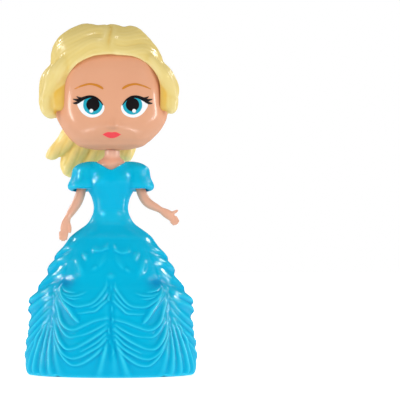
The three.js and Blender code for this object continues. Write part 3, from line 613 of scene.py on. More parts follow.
# %% List the folds
# Each fold gives its width, and rows of degrees from the front, height and relief
# The swags that hang between two columns
SWAGS = (
    (0.62, (3, 30.5, 0.3), (7, 27.7, 0.5), (11.6, 25.2, 0.5), (19.5, 23.9, 0.45), (26, 23.9, 0.5),
     (32, 25.2, 0.8), (39.7, 27.7, 0.9), (46, 30.2, 0.4)),
    (0.5, (28, 28.4, 0.1), (33, 28.7, 0.45), (38, 29.2, 0.6), (46, 30.8, 0.4)),
    (0.5, (19, 28.4, 0.1), (24, 27.6, 0.4), (31, 27.3, 0.55), (40, 28.5, 0.6), (46, 30.3, 0.3)),
    (0.5, (23, 26.4, 0.1), (30, 26.5, 0.5), (38, 27.8, 0.5), (45, 29.8, 0.3)),
    (0.75, (21.5, 18.6, 0.2), (23.5, 19.2, 1.0), (26, 20.3, 1.1), (30.4, 22.8, 1.1), (34, 24.5, 1.0),
     (40, 27.0, 0.6), (46, 29.2, 0.3)),
    (0.5, (2, 25.8, 0.3), (6.6, 23.9, 0.45), (10, 22.3, 0.5), (16, 21.7, 0.35), (24, 21.4, 0.15)),
    (0.5, (2.5, 28.0, 0.2), (6, 25.9, 0.45), (9.5, 24.3, 0.4), (14, 23.2, 0.15)),
    (0.7, (2.5, 19.8, 0.4), (10, 18.9, 0.5), (17.8, 17.3, 0.5), (25.5, 16.1, 0.55), (30.7, 16.7, 0.95),
     (36.5, 19.2, 1.1), (41, 22.9, 0.7), (46, 26.2, 0.3)),
    (0.5, (3, 17.9, 0.2), (8, 16.4, 0.45), (14, 14.9, 0.4), (22, 13.9, 0.2), (29, 13.8, 0.45),
     (35, 16.0, 0.5), (41, 19.6, 0.4)),
    (0.7, (2.5, 16.4, 0.4), (8.8, 13.9, 0.65), (17.2, 11.3, 0.55), (24, 9.8, 0.5), (30, 9.9, 0.9),
     (36, 12.7, 1.1), (40.5, 15.9, 0.8), (46, 19.5, 0.3)),
    (0.5, (3, 14.5, 0.3), (8, 12.0, 0.5), (13, 10.3, 0.4), (19, 8.7, 0.2)),
    (0.65, (3, 13.0, 0.4), (7, 10.6, 0.6), (13.6, 8.4, 0.6), (20, 6.8, 0.5), (27, 6.6, 0.5),
     (33, 8.5, 0.75), (38, 12.0, 0.8), (44, 17.0, 0.4)),
    (0.65, (5, 10.0, 0.2), (8, 8.3, 0.6), (13.4, 6.0, 0.6), (20, 4.4, 0.6), (27, 4.6, 0.6),
     (31, 6.3, 0.75), (36, 9.6, 0.6), (42, 14.5, 0.3)),
)
# The swells that show in the outline, with degrees from the side
SIDE_SWAGS = (
    (0.95, (0, 41.2, 1.0), (15, 41.8, 1.0), (28, 42.9, 0.7), (42, 44.0, 0.1)),
    (1.1, (0, 36.9, 1.3), (15, 37.6, 1.3), (28, 38.9, 0.9), (42, 40.4, 0.2)),
    (1.2, (0, 31.3, 1.3), (15, 32.1, 1.3), (28, 33.4, 1.1), (41, 34.9, 0.4)),
    (1.05, (0, 25.7, 1.7), (15, 26.7, 1.6), (28, 28.2, 1.2), (41, 30.2, 0.5)),
    (0.85, (0, 22.6, 1.5), (15, 23.6, 1.3), (28, 25.3, 1.0), (41, 27.6, 0.4)),
    (0.62, (0, 17.6, 0.6), (14, 18.6, 0.7), (28, 21.2, 0.8), (41, 25.5, 0.3)),
    (0.5, (0, 14.6, 0.4), (14, 15.6, 0.6), (28, 18.2, 0.7), (41, 22.4, 0.3)),
    (0.6, (0, 11.4, 0.6), (14, 12.4, 0.75), (26, 14.8, 0.8), (40, 19.2, 0.3)),
    (0.5, (0, 6.9, 0.4), (14, 8.6, 0.6), (26, 12.0, 0.7), (38, 17.0, 0.3)),
)
# Short carved folds over the hips
HIP_FOLDS = (
    (0.7, (1.5, 43.3, 0.1), (5, 43.0, 0.55), (11, 42.3, 0.5), (18, 42.4, 0.6), (23, 42.9, 0.1)),
    (1.0, (4, 39.8, 0.1), (9, 38.0, 0.35), (15, 36.2, 0.1)),
)
# Soft swells on the hips: degrees, height, half length, half width, lean in degrees and relief
HIP_SWELLS = (
    (30.5, 36.9, 2.6, 1.2, 36, 0.9),
    (28, 40.9, 1.4, 0.8, 40, 0.65),
    (15, 36.4, 1.3, 0.8, -60, 0.4),
)
# Degrees from a column's foot to where each pleat of its fan meets the hem, and its relief
FAN = ((-12, 0.4), (-3.5, 0.9), (6, 0.8), (16, 1.1), (27, 0.7))
MIDDLE_FAN = ((-8, 0.7), (3, 0.25), (11.5, 0.8))
FAN_TOP_Z = 21.0
MIDDLE_FAN_TOP_Z = 14.5
# Degrees from the front where the hem lifts between two pleats, and how far
HEM_LIFTS = ((39.5, 0.6), (48, 0.25), (58, 0.6), (68.5, 0.3))
print(f"folds: {len(SWAGS)} in each swag, {len(SIDE_SWAGS)} at each side, {len(HIP_FOLDS)} on each hip")

# %% Write the rule of the drape
# Share of its listed width that a swag has, the reach of a fold above its line, and below it
SWAG_WIDTH = 0.74
FOLD_SHOULDER = 1.8
DROOP = 0.8
SIDE_DROOP = 1.5
# How much lower the folds lie on each side and behind, and how far they waver
LEFT_DROP = 0.25
RIGHT_DROP = -0.1
BACK_DROP = 0.4
WAVER = 0.22
# Relief of the cloth between two columns, of the hollow under the hip and of the knot in front
SWAG_SWELL = 0.9
HIP_HOLLOW = -0.35
HOLLOW_DEGREES = 40
HOLLOW_Z = 31.4
KNOT = 0.55
KNOT_Z = 33.9
# Degrees of the gathered column, its wavy crest and the dip around it
COLUMN_DEGREES = 48
COLUMN_CREST = 0.18
CREST_WAVE = 0.14
COLUMN_DIP = 0.45
# Degrees of the foot of the column's fan, the width of a pleat and its spread at the top
FAN_FOOT = 47
PLEAT_WIDTH = 3.2
FAN_NECK = 0.16


def ridge(distance, width, droop):
    """Section of a fold: a long shoulder above and a quicker drop below."""
    return np.where(distance > 0, bump(distance, FOLD_SHOULDER * width), bump(distance, droop * width))


def fold_relief(rows, width, angle, z, radius, droop=DROOP):
    """Relief of one fold that follows rows of (degrees, height, relief)."""
    path = smooth_run(*rows)
    first = rows[0][0]
    last = rows[-1][0]
    line, amount = path(angle)
    slope = (path(angle + 0.5)[0] - path(angle - 0.5)[0]) / (radius * np.radians(1))
    begun = ramp(angle, first - 3, first + 1) if first > 0 else 1
    going = begun * (1 - ramp(angle, last - 1, last + 3))
    return amount * going * ridge((z - line) / np.sqrt(1 + slope**2), width, droop)


def fan_relief(pleats, angle, z, top):
    """Pleats that spread from a column's foot down to the hem."""
    down = np.clip((top - z) / top, 0, 1)
    spread = angle / mix(FAN_NECK, 1, down)
    rise = np.max([amount * bump(spread - place, PLEAT_WIDTH) for place, amount in pleats], axis=0)
    return rise * ramp(down, 0.05, 0.45)


def hip_swell(degrees, height, long, wide, lean, rise, angle, z, radius):
    """A short soft fold that leans out towards its top."""
    out = radius * np.radians(angle - degrees)
    up = z - height
    tilt = math.radians(lean)
    along = out * math.sin(tilt) + up * math.cos(tilt)
    across = out * math.cos(tilt) - up * math.sin(tilt)
    return rise * bump(along, long) * bump(across, wide)


def from_middle(theta):
    """Degrees from the middle of the front or the back, whichever is nearer, and whether it is the back."""
    turn = np.abs(np.mod(theta + 180, 360) - 180)
    return 90 - np.abs(90 - turn), turn > 90


def skirt_relief(theta, z):
    """How far the cloth stands out from the plain skirt at an angle and a height."""
    facing, behind = from_middle(theta)
    left = np.mod(theta, 360) < 180
    aside = facing * np.where(left, 1, -1)
    drop = np.where(left, LEFT_DROP, RIGHT_DROP) + np.where(behind, BACK_DROP, 0)
    z_seen = z + drop + WAVER * np.sin(theta / 7.0)
    radius = skirt_half_at(z)[0]
    heights = [hip_swell(*rows, facing, z_seen, radius) for rows in HIP_SWELLS]
    for folds, share, angle, droop in (
        (SWAGS, SWAG_WIDTH, facing, DROOP),
        (HIP_FOLDS, 1, facing, DROOP),
        (SIDE_SWAGS, 1, 90 - facing, SIDE_DROOP),
    ):
        for width, *rows in folds:
            heights.append(fold_relief(rows, share * width, angle, z_seen, radius, droop))
    column = COLUMN_DEGREES + 4 * ramp(z, 22, 32) - 3 * bump(z - 20, 5)
    between = np.sin(np.pi * np.clip(facing / column, 0, 1))
    swell = SWAG_SWELL * between * ramp(z, 2, 10) * (1 - ramp(z, 24, 33))
    hollow = HIP_HOLLOW * bump(facing - HOLLOW_DEGREES, 7) * bump(z - HOLLOW_Z, 2.2)
    knot = KNOT * bump(facing, 4) * bump(z - KNOT_Z, 1.0)
    weave = 1.1 * np.sin(z / 1.9) + 0.6 * np.sin(z / 0.8)
    crest = COLUMN_CREST + CREST_WAVE * np.sin(z * 1.7)
    columns = (aside + weave, facing - column + 0.8 * weave)
    pinch = sum(crest * bump(gap, 0.9) - COLUMN_DIP * bump(gap, 3.2) for gap in columns)
    drawn = ramp(z, 4, 14) * (1 - ramp(z, 29, 34))
    fans = fan_relief(FAN, facing - FAN_FOOT, z, FAN_TOP_Z)
    fans += fan_relief(MIDDLE_FAN, aside, z, MIDDLE_FAN_TOP_Z)
    fans = fans * mix(0.5, 1, ramp(z, 0, 2.5))
    flatter = ease_at(z)[0] * (1 - ramp(facing, 24, 44))
    return np.max(heights, axis=0) + swell + hollow + knot + flatter + drawn * pinch + fans


def skirt_point(theta, z, relief):
    """A point of the skirt at an angle from the front, a height and a relief outwards."""
    half, depth = skirt_section(z)
    turn = np.radians(theta)
    x = half * np.sin(turn)
    y = -depth * np.cos(turn)
    reach = np.hypot(x, y)
    return x * (reach + relief) / reach, y * (reach + relief) / reach, z


# %% Model the two halves of the skirt
COLUMNS = 240
OUTER_ROWS = 270
INNER_ROWS = 40
SKIRT_TOP_Z = WAIST_Z + 1.6
TUCK = 0.5
WALL = 1.2
SKIRT_PARTING = 0.006
HEM_LIFT_WIDTH = 2.6


def skirt_shell(theta, v):
    """The shell as one loop of rows: down the outside from the waist, and up the inside."""
    row = v * (OUTER_ROWS + INNER_ROWS)
    outer = row <= OUTER_ROWS
    z = np.interp(row, (0, OUTER_ROWS, OUTER_ROWS + INNER_ROWS), (SKIRT_TOP_Z, 0, SKIRT_TOP_Z))
    facing = from_middle(theta)[0]
    lift = np.max([amount * bump(facing - place, HEM_LIFT_WIDTH) for place, amount in HEM_LIFTS], axis=0)
    z = z + lift * (1 - ramp(z, 0, 3))
    tuck = TUCK * ramp(z, WAIST_Z - 0.4, SKIRT_TOP_Z)
    wall = np.where(row > OUTER_ROWS + INNER_ROWS - 0.5, 0, WALL)
    relief = np.where(outer, skirt_relief(theta, z) * (z < WAIST_Z), -wall)
    return skirt_point(theta, z, relief - tuck)


def skirt_half(name, middle):
    """One half of the skirt, a quarter turn to each side of its middle."""
    edge = math.degrees(SKIRT_PARTING / HEM_HALF_WIDTH)

    def place(u, v):
        return skirt_shell(middle + mix(-90 + edge, 90 - edge, u), v)

    return close_up(mapped(name, COLUMNS, OUTER_ROWS + INNER_ROWS, place), sharp_degrees=70)


def hollows(piece, rounds, depth):
    """How far each point lies below the softened form around it, as a share of a depth."""
    edges = np.empty(len(piece.data.edges) * 2, int)
    piece.data.edges.foreach_get("vertices", edges)
    a, b = edges.reshape(-1, 2).T
    points = points_of(piece)
    count = np.bincount(np.concatenate([a, b]), minlength=len(points))
    soft = points.copy()
    for _ in range(rounds):
        for axis in range(3):
            near = np.bincount(a, soft[b, axis], len(points)) + np.bincount(b, soft[a, axis], len(points))
            soft[:, axis] = 0.5 * soft[:, axis] + 0.5 * near / count
    return np.einsum("ij,ij->i", soft - points, normals_of(piece)) / depth


# Painted shade: the hollow under each hip is a deeper blue. Painted light: the top of the skirt below the
# waist, which lies in shade, is a lighter blue
HIP_DIP_X = 15.4
HIP_DIP_Z = 31.8
YOKE_Z = 53
YOKE_PAINTED_LIGHT = 0.2

for end, middle in (("front", 0), ("back", 180)):
    skirt = skirt_half(f"draped_skirt_{end}", middle)
    x, y, z = points_of(skirt).T
    hip_painted_shade = bump(np.abs(x) - HIP_DIP_X, 2.8) * bump(z - HIP_DIP_Z, 1.6)
    clear = ramp(np.abs(y), 0.1, 1) * (1 - ramp(z, 46, 52))
    top_painted_light = YOKE_PAINTED_LIGHT * bump(z - YOKE_Z, 4)
    # Painted shade in the cloth's hollows and under the hips, and painted highlight on the crests and at
    # the top of the skirt
    set_painted_shade_and_light(skirt, hollows(skirt, rounds=6, depth=0.16) * clear + hip_painted_shade - top_painted_light)
    dress(skirt, GOWN_BLUE, "torso", "gown", f"gown_{end}")

# %% [markdown]
# ## Bodice and puff sleeves
# The tight bodice and the two puff sleeves flow into each other, and the
# neckline is a V between two humps. Forms that melt together are hard to draw
# as one surface. So the trunk, the two puffs and a bar across the chest are
# modelled as plain closed forms, laid into each other and given one skin by a
# voxel remesh, which is then softened. The sleeves' insides are cut out last,
# and the piece is split like the skirt.

# %% Define tapered tubes and the fusing of forms
def tube(name, path, sections, sides=20, steps=48, ends=0.05):
    """A tapered oval tube along points, with sections of (share, width, thickness)."""
    spots = np.array(path, float)
    strides = np.linalg.norm(np.diff(spots, axis=0), axis=1)
    shares = np.concatenate([[0], np.cumsum(strides)]) / strides.sum()
    route = smooth_run(*np.column_stack([shares, spots]))
    sizes = smooth_run(*sections)

    def place(u, v):
        centre = route(v)
        along = route(np.clip(v + 0.01, 0, 1)) - route(np.clip(v - 0.01, 0, 1))
        along = along / np.linalg.norm(along, axis=0)
        across = np.cross((0, 1, 0), along, axisb=0, axisc=0)
        across = across / np.linalg.norm(across, axis=0)
        deep = np.cross(along, across, axisa=0, axisb=0, axisc=0)
        width, thickness = sizes(v)
        from_end = np.clip(np.minimum(v, 1 - v) / ends, 0, 1)
        round_off = np.sqrt(1 - (1 - from_end) ** 2)
        turn = 2 * np.pi * u
        return centre + round_off * (across * width * np.cos(turn) + deep * thickness * np.sin(turn))

    return close_up(mapped(name, sides, steps, place))


def fuse(name, forms, voxel, softening):
    """Joins closed forms into one, gives them one skin and softens it."""
    piece = joined(name, forms)
    reskin(piece, voxel, softening)
    print(f"{name}: {len(piece.data.polygons)} faces after fusing {len(forms)} forms")
    return piece


# %% Shape the trunk and the sleeves
NECKLINE_DROP = 2.9
NECKLINE_HALF_WIDTH = 6.8
TRUNK_FLOOR_Z = 54.4
RIM_DIP = 0.9
TRUNK_POWER = 2.15
BUST_X = 4.7
BUST_Z = 66.4
BUST_HEIGHT = 1.1

# Height, half width, depth in front and depth behind
trunk_at = smooth_run(
    (54.4, 5.75, 4.85, 4.85), (56.8, 5.9, 4.95, 4.9), (58, 5.95, 5.1, 4.95), (59.3, 6.25, 5.35, 5.05),
    (60.7, 6.65, 5.7, 5.15), (62, 7.3, 6.1, 5.25), (63.4, 8.1, 6.5, 5.4), (65.5, 8.6, 6.8, 5.5),
    (68.5, 8.5, 6.7, 5.5), (71, 7.9, 6.1, 5.3), (73.2, 7.0, 5.3, 4.9),
)


def neckline_z(x):
    """Height of the neckline, a V between two humps."""
    across = np.clip(np.abs(x) / NECKLINE_HALF_WIDTH, 0, 1)
    return SHOULDER_Z - NECKLINE_DROP * (1 - np.sin(np.pi / 2 * across) ** 1.15)


def trunk_point(u, v):
    """The trunk as rings from inside the skirt up to the neckline, closed at both ends."""
    up = np.interp(v, (0, 0.06, 0.8, 1), (0, 0, 1, 1))
    close = np.interp(v, (0, 0.06, 0.8, 1), (0, 1, 1, 0))
    top = neckline_z(NECKLINE_HALF_WIDTH * 1.1 * np.sin(2 * np.pi * u) * close)
    z = mix(TRUNK_FLOOR_Z, top, up)
    x, y = ring(u, close, *trunk_at(z), TRUNK_POWER)
    mounds = BUST_HEIGHT * bump(np.abs(x) - BUST_X, 3.0) * bump(z - BUST_Z, 2.4) * (y < 0) * close
    return x, y - mounds, z - RIM_DIP * (1 - close) * (v > 0.5)


SLEEVE_ROOT = 4.4
SLEEVE_REACH = 14.4
SLEEVE_HALF_DEPTH = 6.1
MOUTH_Z = SHOULDER_Z - 9.9
SLEEVE_WALL = 0.9
LIP_TILT_OUT = -0.05
LIP_TILT_FRONT = 0.1
PUFF_POWER = 2.2
CAVITY_ROOT = 7.2
CAVITY_TOP = 0.78

# Share of the sleeve's height, and the shares of its reach and depth there
sleeve_at = smooth_run(
    (0, 0.94, 0.93), (0.05, 1.0, 1.0), (0.13, 1.035, 1.04), (0.24, 1.02, 1.02), (0.36, 0.975, 0.97),
    (0.5, 0.94, 0.92), (0.65, 0.93, 0.9), (0.77, 0.9, 0.83), (0.86, 0.83, 0.72), (0.93, 0.74, 0.57),
    (0.97, 0.65, 0.42), (1, 0.54, 0.24),
)


def puff(name, side, low, high, wall, mouth_root=SLEEVE_ROOT):
    """A closed puff between two shares of the sleeve's height, set in by a wall."""
    def place(u, v):
        share = np.interp(v, (0, 0.06, 0.94, 1), (high, high, low, low))
        close = np.interp(v, (0, 0.06, 0.94, 1), (0, 1, 1, 0))
        reach, depth = sleeve_at(share)
        root = mix(mouth_root, SLEEVE_ROOT, ramp(share, 0.25, 0.75))
        half = (SLEEVE_REACH * reach - root) / 2
        deep = SLEEVE_HALF_DEPTH * depth - wall
        x, y = ring(u, close, half - wall, deep, deep, PUFF_POWER)
        x = root + half + x
        tilt = (LIP_TILT_OUT * (x - SLEEVE_REACH / 1.5) - LIP_TILT_FRONT * y) * (1 - share)
        return side * x, y, mix(MOUTH_Z, SHOULDER_Z, share) + tilt

    return close_up(mapped(name, 64, 70, place))


CHEST_BAR = ((-10.4, 0.1, 68.4), (-5.6, -0.8, 69.2), (0, -1.2, 68.0), (5.6, -0.8, 69.2), (10.4, 0.1, 68.4))
BAR_SECTIONS = ((0, 3.0, 4.6), (0.27, 3.0, 4.8), (0.5, 2.4, 4.8), (0.73, 3.0, 4.8), (1, 3.0, 4.6))
forms = [close_up(mapped("trunk", 120, 110, trunk_point))]
forms += [puff("sleeve", side, low=0, high=1, wall=0) for side in SIDES]
forms.append(tube("chest_bar", CHEST_BAR, BAR_SECTIONS, sides=40, steps=80, ends=0.12))
bodice = fuse("bodice", forms, voxel=0.34, softening=14)

# %% Hollow the sleeves and split the bodice
# Half the gap between two halves, and how near to the cut a point counts as on it
PARTING = 0.04
CUT_NEAR = 0.0005

for side in SIDES:
    cavity = puff("cavity", side, -0.3, CAVITY_TOP, SLEEVE_WALL, CAVITY_ROOT)
    apply_modifier(bodice, "BOOLEAN", operation="DIFFERENCE", object=cavity, solver="EXACT")
    bpy.data.objects.remove(cavity)
reskin(bodice, voxel=0.22, softening=4)
# Painted shade in the bodice's hollows and painted highlight on its crests
set_painted_shade_and_light(bodice, hollows(bodice, rounds=16, depth=0.5))


def half_of(piece, name, plane_y, side):
    """A copy of a piece, cut at an upright plane across the doll and closed there."""
    only(piece)
    bpy.ops.object.duplicate()
    half = bpy.context.object
    half.name = name
    plane = dict(plane_co=(0, (plane_y + side * PARTING) * MM, 0), plane_no=(0, side, 0))
    closed = dict(use_fill=True, clear_inner=True, threshold=CUT_NEAR * MM)
    edit_mesh(half, (bpy.ops.mesh.bisect, plane | closed))
    bpy.ops.object.shade_smooth_by_angle(angle=math.radians(60))
    print(f"{name}: {len(half.data.polygons)} faces")
    return half


def split(piece, plane_y, finish, body, slot, front, back):
    """Splits a piece in two. Front and back give the name of a half and the solid that it stands for."""
    for side, (name, node) in ((-1, front), (1, back)):
        dress(half_of(piece, name, plane_y, side), finish, body, slot, node)
    bpy.data.objects.remove(piece)


split(bodice, 0, GOWN_BLUE, "torso", "gown", ("bodice_front", "gown_front"), ("bodice_back", "gown_back"))

# %% [markdown]
# ## Bust
# The chest, shoulders and neck are one skin-coloured moulding that the two
# gown halves clamp. It is turned like a vase, but oval: rings of chest size
# that narrow to the neck, with a thin spigot on top that the head turns on.

# %% Model the bust
CHEST_HALF_WIDTH = 5.6
CHEST_DEPTH = 4.4
CHEST_BACK = 3.7
NECK_RADIUS = 2.55
NECK_LEAN = 0.4
SPIGOT_RADIUS = 1.6
# Heights between which the throat is painted lighter, a painted light, as the head shades the neck
THROAT_LOW = 73
THROAT_HIGH = 75.5
bust_high = node_box("bust")[1]
NECK_TOP_Z = HEAD_Z - 0.3
CHEST_FLOOR_Z = 62.1
NECK_ROOT_Z = NECK_TOP_Z - 1.2

# Share of the way up to the neck, and how much wider than the neck the chest still is
chest_at = smooth_run(
    (0, 0.82), (0.2, 0.96), (0.45, 1), (0.66, 0.97), (0.77, 0.84), (0.84, 0.55), (0.89, 0.24),
    (0.94, 0.06), (1, 0),
)


def bust_point(u, v):
    """Rings from the chest floor up to the neck, then the spigot."""
    z = np.interp(
        v,
        (0, 0.04, 0.7, 0.84, 0.87, 0.98, 1),
        (CHEST_FLOOR_Z, CHEST_FLOOR_Z, NECK_ROOT_Z, NECK_TOP_Z, NECK_TOP_Z, bust_high.z, bust_high.z),
    )
    size = chest_at(np.clip((z - CHEST_FLOOR_Z) / (NECK_ROOT_Z - CHEST_FLOOR_Z), 0, 1))[0]
    slim = SPIGOT_RADIUS / NECK_RADIUS
    close = np.interp(v, (0, 0.04, 0.84, 0.87, 0.98, 1), (0, 1, 1, slim, slim, 0))
    oval = [mix(NECK_RADIUS, reach, size) for reach in (CHEST_HALF_WIDTH, CHEST_DEPTH, CHEST_BACK)]
    x, y = ring(u, close, *oval)
    return x + NECK_LEAN * (1 - size) * (z <= NECK_TOP_Z), y, z


bust = close_up(mapped("bust_and_neck", 64, 100, bust_point), sharp_degrees=60)
# The throat and neck get a painted light, full above the upper height
set_painted_shade_and_light(bust, -ramp(points_of(bust)[:, 2], THROAT_LOW, THROAT_HIGH))
dress(bust, BODY_SKIN_PAINTED_LIGHTER, "torso", "skin", "bust")

# %% [markdown]
# ## Arms
# Each arm is one moulding with its hand and its cross pin. Limbs and fingers
# are drawn as tapered tubes along a few points, laid into each other, and then
# given one skin by a voxel remesh and softened, which leaves the small webs
# that a mould has between fingers.

# %% Model the arms
ARM_SECTIONS = (
    (0, 1.2, 1.5), (0.22, 1.6, 1.6), (0.45, 1.65, 1.6), (0.62, 1.35, 1.3),
    (0.73, 1.1, 1.0), (0.82, 1.5, 0.95), (0.92, 1.5, 0.8), (1, 1.1, 0.5),
)
THUMB_SECTIONS = ((0, 0.65, 0.6), (0.6, 0.55, 0.5), (1, 0.42, 0.4))
FINGER_SECTIONS = ((0, 0.5, 0.5), (0.5, 0.48, 0.46), (1, 0.34, 0.34))
PIN_RADIUS = 1.1
HUB_RADIUS = 2.0
# How far each finger reaches, as a share of the finger given for the hand
FINGER_REACH = (0.8, 1.0, 1.05, 0.92)
# Radius of the hub and the pin, and how far each reaches from the pivot
RODS = ((HUB_RADIUS, 1.2), (PIN_RADIUS, 2.8))
joint_places = {joint["name"]: Vector(joint["pos_m"]) / MM for joint in frame["joints"]}
SHOULDER_OUT = joint_places["left_arm_swing"].x
PIVOT_Z = joint_places["left_arm_swing"].z

# Points from the pivot in each shoulder, the way of a finger and the step from one to the next
ARMS = {
    "right_arm": dict(
        side=-1,
        path=((0, 0, 0), (-0.5, -0.1, -4.9), (-1.8, -0.9, -9), (-4.3, -3, -13.2), (-5.3, -4.2, -15),
              (-6.0, -5.3, -17.6), (-6.5, -6.1, -20)),
        thumb=((-5.2, -4.7, -15.6), (-4.4, -5.7, -17.8), (-4.3, -6.4, -20.0)),
        finger=(-0.2, -1.0, -2.7),
        fan=(0.78, 0, 0.1),
    ),
    "left_arm": dict(
        side=1,
        path=((0, 0, 0), (0.55, -0.1, -4.9), (2.9, -0.7, -9.3), (6.2, -2.2, -11.3), (8.6, -3.3, -12.7),
              (10.6, -4.1, -14), (11.9, -4.5, -15.4)),
        thumb=((10.0, -3.9, -13.3), (11.9, -4.4, -12.8), (13.4, -4.7, -12.0)),
        finger=(1.1, -0.5, -1.5),
        fan=(0.55, 0, 0.5),
    ),
}


def arm(name, side, path, thumb, finger, fan):
    """An arm with a hub and pin in the shoulder, a hand of four fingers and a thumb."""
    pivot = np.array((side * SHOULDER_OUT, 0, PIVOT_Z))
    spots = np.array(path) + pivot
    finger = np.array(finger)
    bent = np.array((0, -0.15, 0))
    small = dict(sides=14, steps=20, ends=0.25)
    forms = [tube(f"{name}_limb", spots, ARM_SECTIONS, steps=70)]
    forms.append(tube(f"{name}_thumb", np.array(thumb) + pivot, THUMB_SECTIONS, **small))
    for i, reach in enumerate(FINGER_REACH):
        aside = np.array(fan) * (i - 1.5)
        root = spots[-1] + aside - finger * 0.35
        tip = spots[-1] + aside * 0.85 + finger * reach
        knuckles = (root, (root + tip) / 2 + bent, tip)
        forms.append(tube(f"{name}_finger", knuckles, FINGER_SECTIONS, sides=12, steps=16, ends=0.2))
    for radius, reach in RODS:
        rod = (pivot - (reach, 0, 0), pivot, pivot + (reach, 0, 0))
        even = ((0, radius, radius), (1, radius, radius))
        forms.append(tube(f"{name}_pin", rod, even, steps=12, ends=0.02))
    return fuse(f"{name}_with_hand", forms, voxel=0.16, softening=3)


for name, shape in ARMS.items():
    dress(arm(name, **shape), BODY_SKIN_PAINTED_LIGHTER, name, "skin", name)

# %% [markdown]
# ## Face
# The front of the head is a smooth, wide face with a tiny nose. The form is a
# stack of rounded rings, fuller at the cheeks and flat across the front, which
# is why a printed face fits it so well. One rule gives the depth of the face
# at any place, and the nose and the prints use it too.

# %% Model the face
FACE_DEPTH = -face_low.y
NAPE_DEPTH = 15.5
HEAD_POWER = 2.5
FACE_CENTRE_X = 0.6
NOSE_Z = 84.7
NOSE_HEIGHT = 2.7
LEFT_JAW = 0.04

# Share of the head's height, and the shares of its width and depth there
head_at = smooth_run(
    (0, 0.3, 0.3), (0.02, 0.5, 0.48), (0.065, 0.67, 0.64), (0.13, 0.8, 0.79), (0.21, 0.91, 0.9),
    (0.28, 0.98, 0.95), (0.4, 1, 0.99), (0.55, 0.99, 1), (0.7, 0.93, 0.97), (0.82, 0.8, 0.85),
    (0.92, 0.58, 0.62), (1, 0.2, 0.2),
)


def nose_relief(x, z):
    """A small nose: a ridge that widens and rises to the tip, and ends short below it."""
    beside = np.sqrt((x - FACE_CENTRE_X) ** 2 + 0.16)
    above = np.clip((z - NOSE_Z) / 5.5, 0, 1)
    rise = (1 - above) ** 2 * ramp(z, NOSE_Z - 1.6, NOSE_Z - 0.2)
    flank = 1 - beside / mix(2.2, 1.1, above)
    flank = (flank + np.sqrt(flank**2 + 0.03)) / 2
    bridge = 0.35 * bump(beside, 1.2) * bump(z - NOSE_Z - 6, 3.5)
    return NOSE_HEIGHT * rise * flank * bump(beside, 4) + bridge


def head_section(z):
    """Half width and front depth of the head at a height."""
    width, depth = head_at((z - HEAD_Z) / HEAD_HEIGHT)
    return HEAD_HALF_WIDTH * width, FACE_DEPTH * depth


def face_front(x, z):
    """Depth of the face at a place seen from the front."""
    half, front = head_section(z)
    across = np.clip(np.abs(x) / half, 0, 1)
    return -front * (1 - across**HEAD_POWER) ** (1 / HEAD_POWER) - nose_relief(x, z)


def head_point(u, v):
    """Rings of the head from the neck hole up, closed at both ends."""
    share = np.interp(v, (0, 0.03, 0.2, 0.95, 1), (0, 0, 0.1, 1, 1))
    close = np.interp(v, (0, 0.03, 0.95, 1), (0, 1, 1, 0))
    width, depth = head_at(share)
    x, y = ring(u, close, HEAD_HALF_WIDTH * width, FACE_DEPTH * depth, NAPE_DEPTH * depth, HEAD_POWER)
    z = HEAD_Z + HEAD_HEIGHT * share
    fuller = 1 + LEFT_JAW * bump(share - 0.2, 0.14) * ramp(x, 12.5, 16.5)
    return x * fuller, y - np.where(y < 0, nose_relief(x, z), 0), z


face = close_up(mapped("face", 180, 190, head_point))
dress(face, SKIN_TONE, "head", "skin", "face_shell")

# %% [markdown]
# ## Printed eyes, brows and lips
# On the real doll the features are pads of ink pressed on the plastic, one
# colour after another. They could be painted in a texture, but ink has crisp
# edges at any distance, so each ink is a thin film that lies on the face. A
# film is a fine grid cut to its outline and laid on the face by its rule.

# %% Define inks and films
FILM = 0.03


def ink(name, light, deep, roughness=0.3, level=0.25):
    """A pad-printed ink: even colour with slight drift and a satin gloss."""
    return plastic(name, (light, deep, deep, light), roughness, spread=0.08, grain_depth=0.004, level=level)


def film(name, columns, rows, outline, layer):
    """A film of ink laid on the face. outline(u, v) gives x from the face centre, and z."""

    def place(u, v):
        x, z = outline(u, v)
        x = x + FACE_CENTRE_X
        return x, face_front(x, z) - layer * FILM, z

    piece = mapped(name, columns, rows, place)
    edit_mesh(piece, WELDED, OUTWARDS)
    if sum(p.normal.y * p.area for p in piece.data.polygons) > 0:
        piece.data.flip_normals()
    apply_modifier(piece, "SOLIDIFY", thickness=FILM * MM * 0.8, offset=-1)
    bpy.ops.object.shade_smooth_by_angle(angle=math.radians(40))
    return piece


def disc(name, side, centre, radius, layer, top=None):
    """A round film on one side of the face, cut off above a height where top is given."""
    def outline(u, v):
        turn = 2 * np.pi * u
        x = side * centre[0] + radius * v * np.cos(turn)
        z = centre[1] + radius * v * np.sin(turn)
        return x, z if top is None else np.minimum(z, top(np.abs(x)))

    return film(name, 72, 16, outline, layer)


def ribbon(name, side, rows, layer):
    """A film along rows of (place, x, z, half thickness), mirrored for the other side."""
    path = smooth_run(*rows)

    def outline(u, v):
        x, z, half = path(v)
        ahead = path(np.clip(v + 0.01, 0, 1)) - path(np.clip(v - 0.01, 0, 1))
        length = np.hypot(ahead[0], ahead[1])
        offset = half * (2 * u - 1)
        return side * (x - ahead[1] / length * offset), z + ahead[0] / length * offset

    return film(name, 10, 60, outline, layer)


def joined_film(name, films, finish):
    """Joins the films of one ink into one piece on the head."""
    piece = joined(name, films)
    dress(piece, finish, "head", "skin")
    print(f"{name}: {len(piece.data.polygons)} faces")


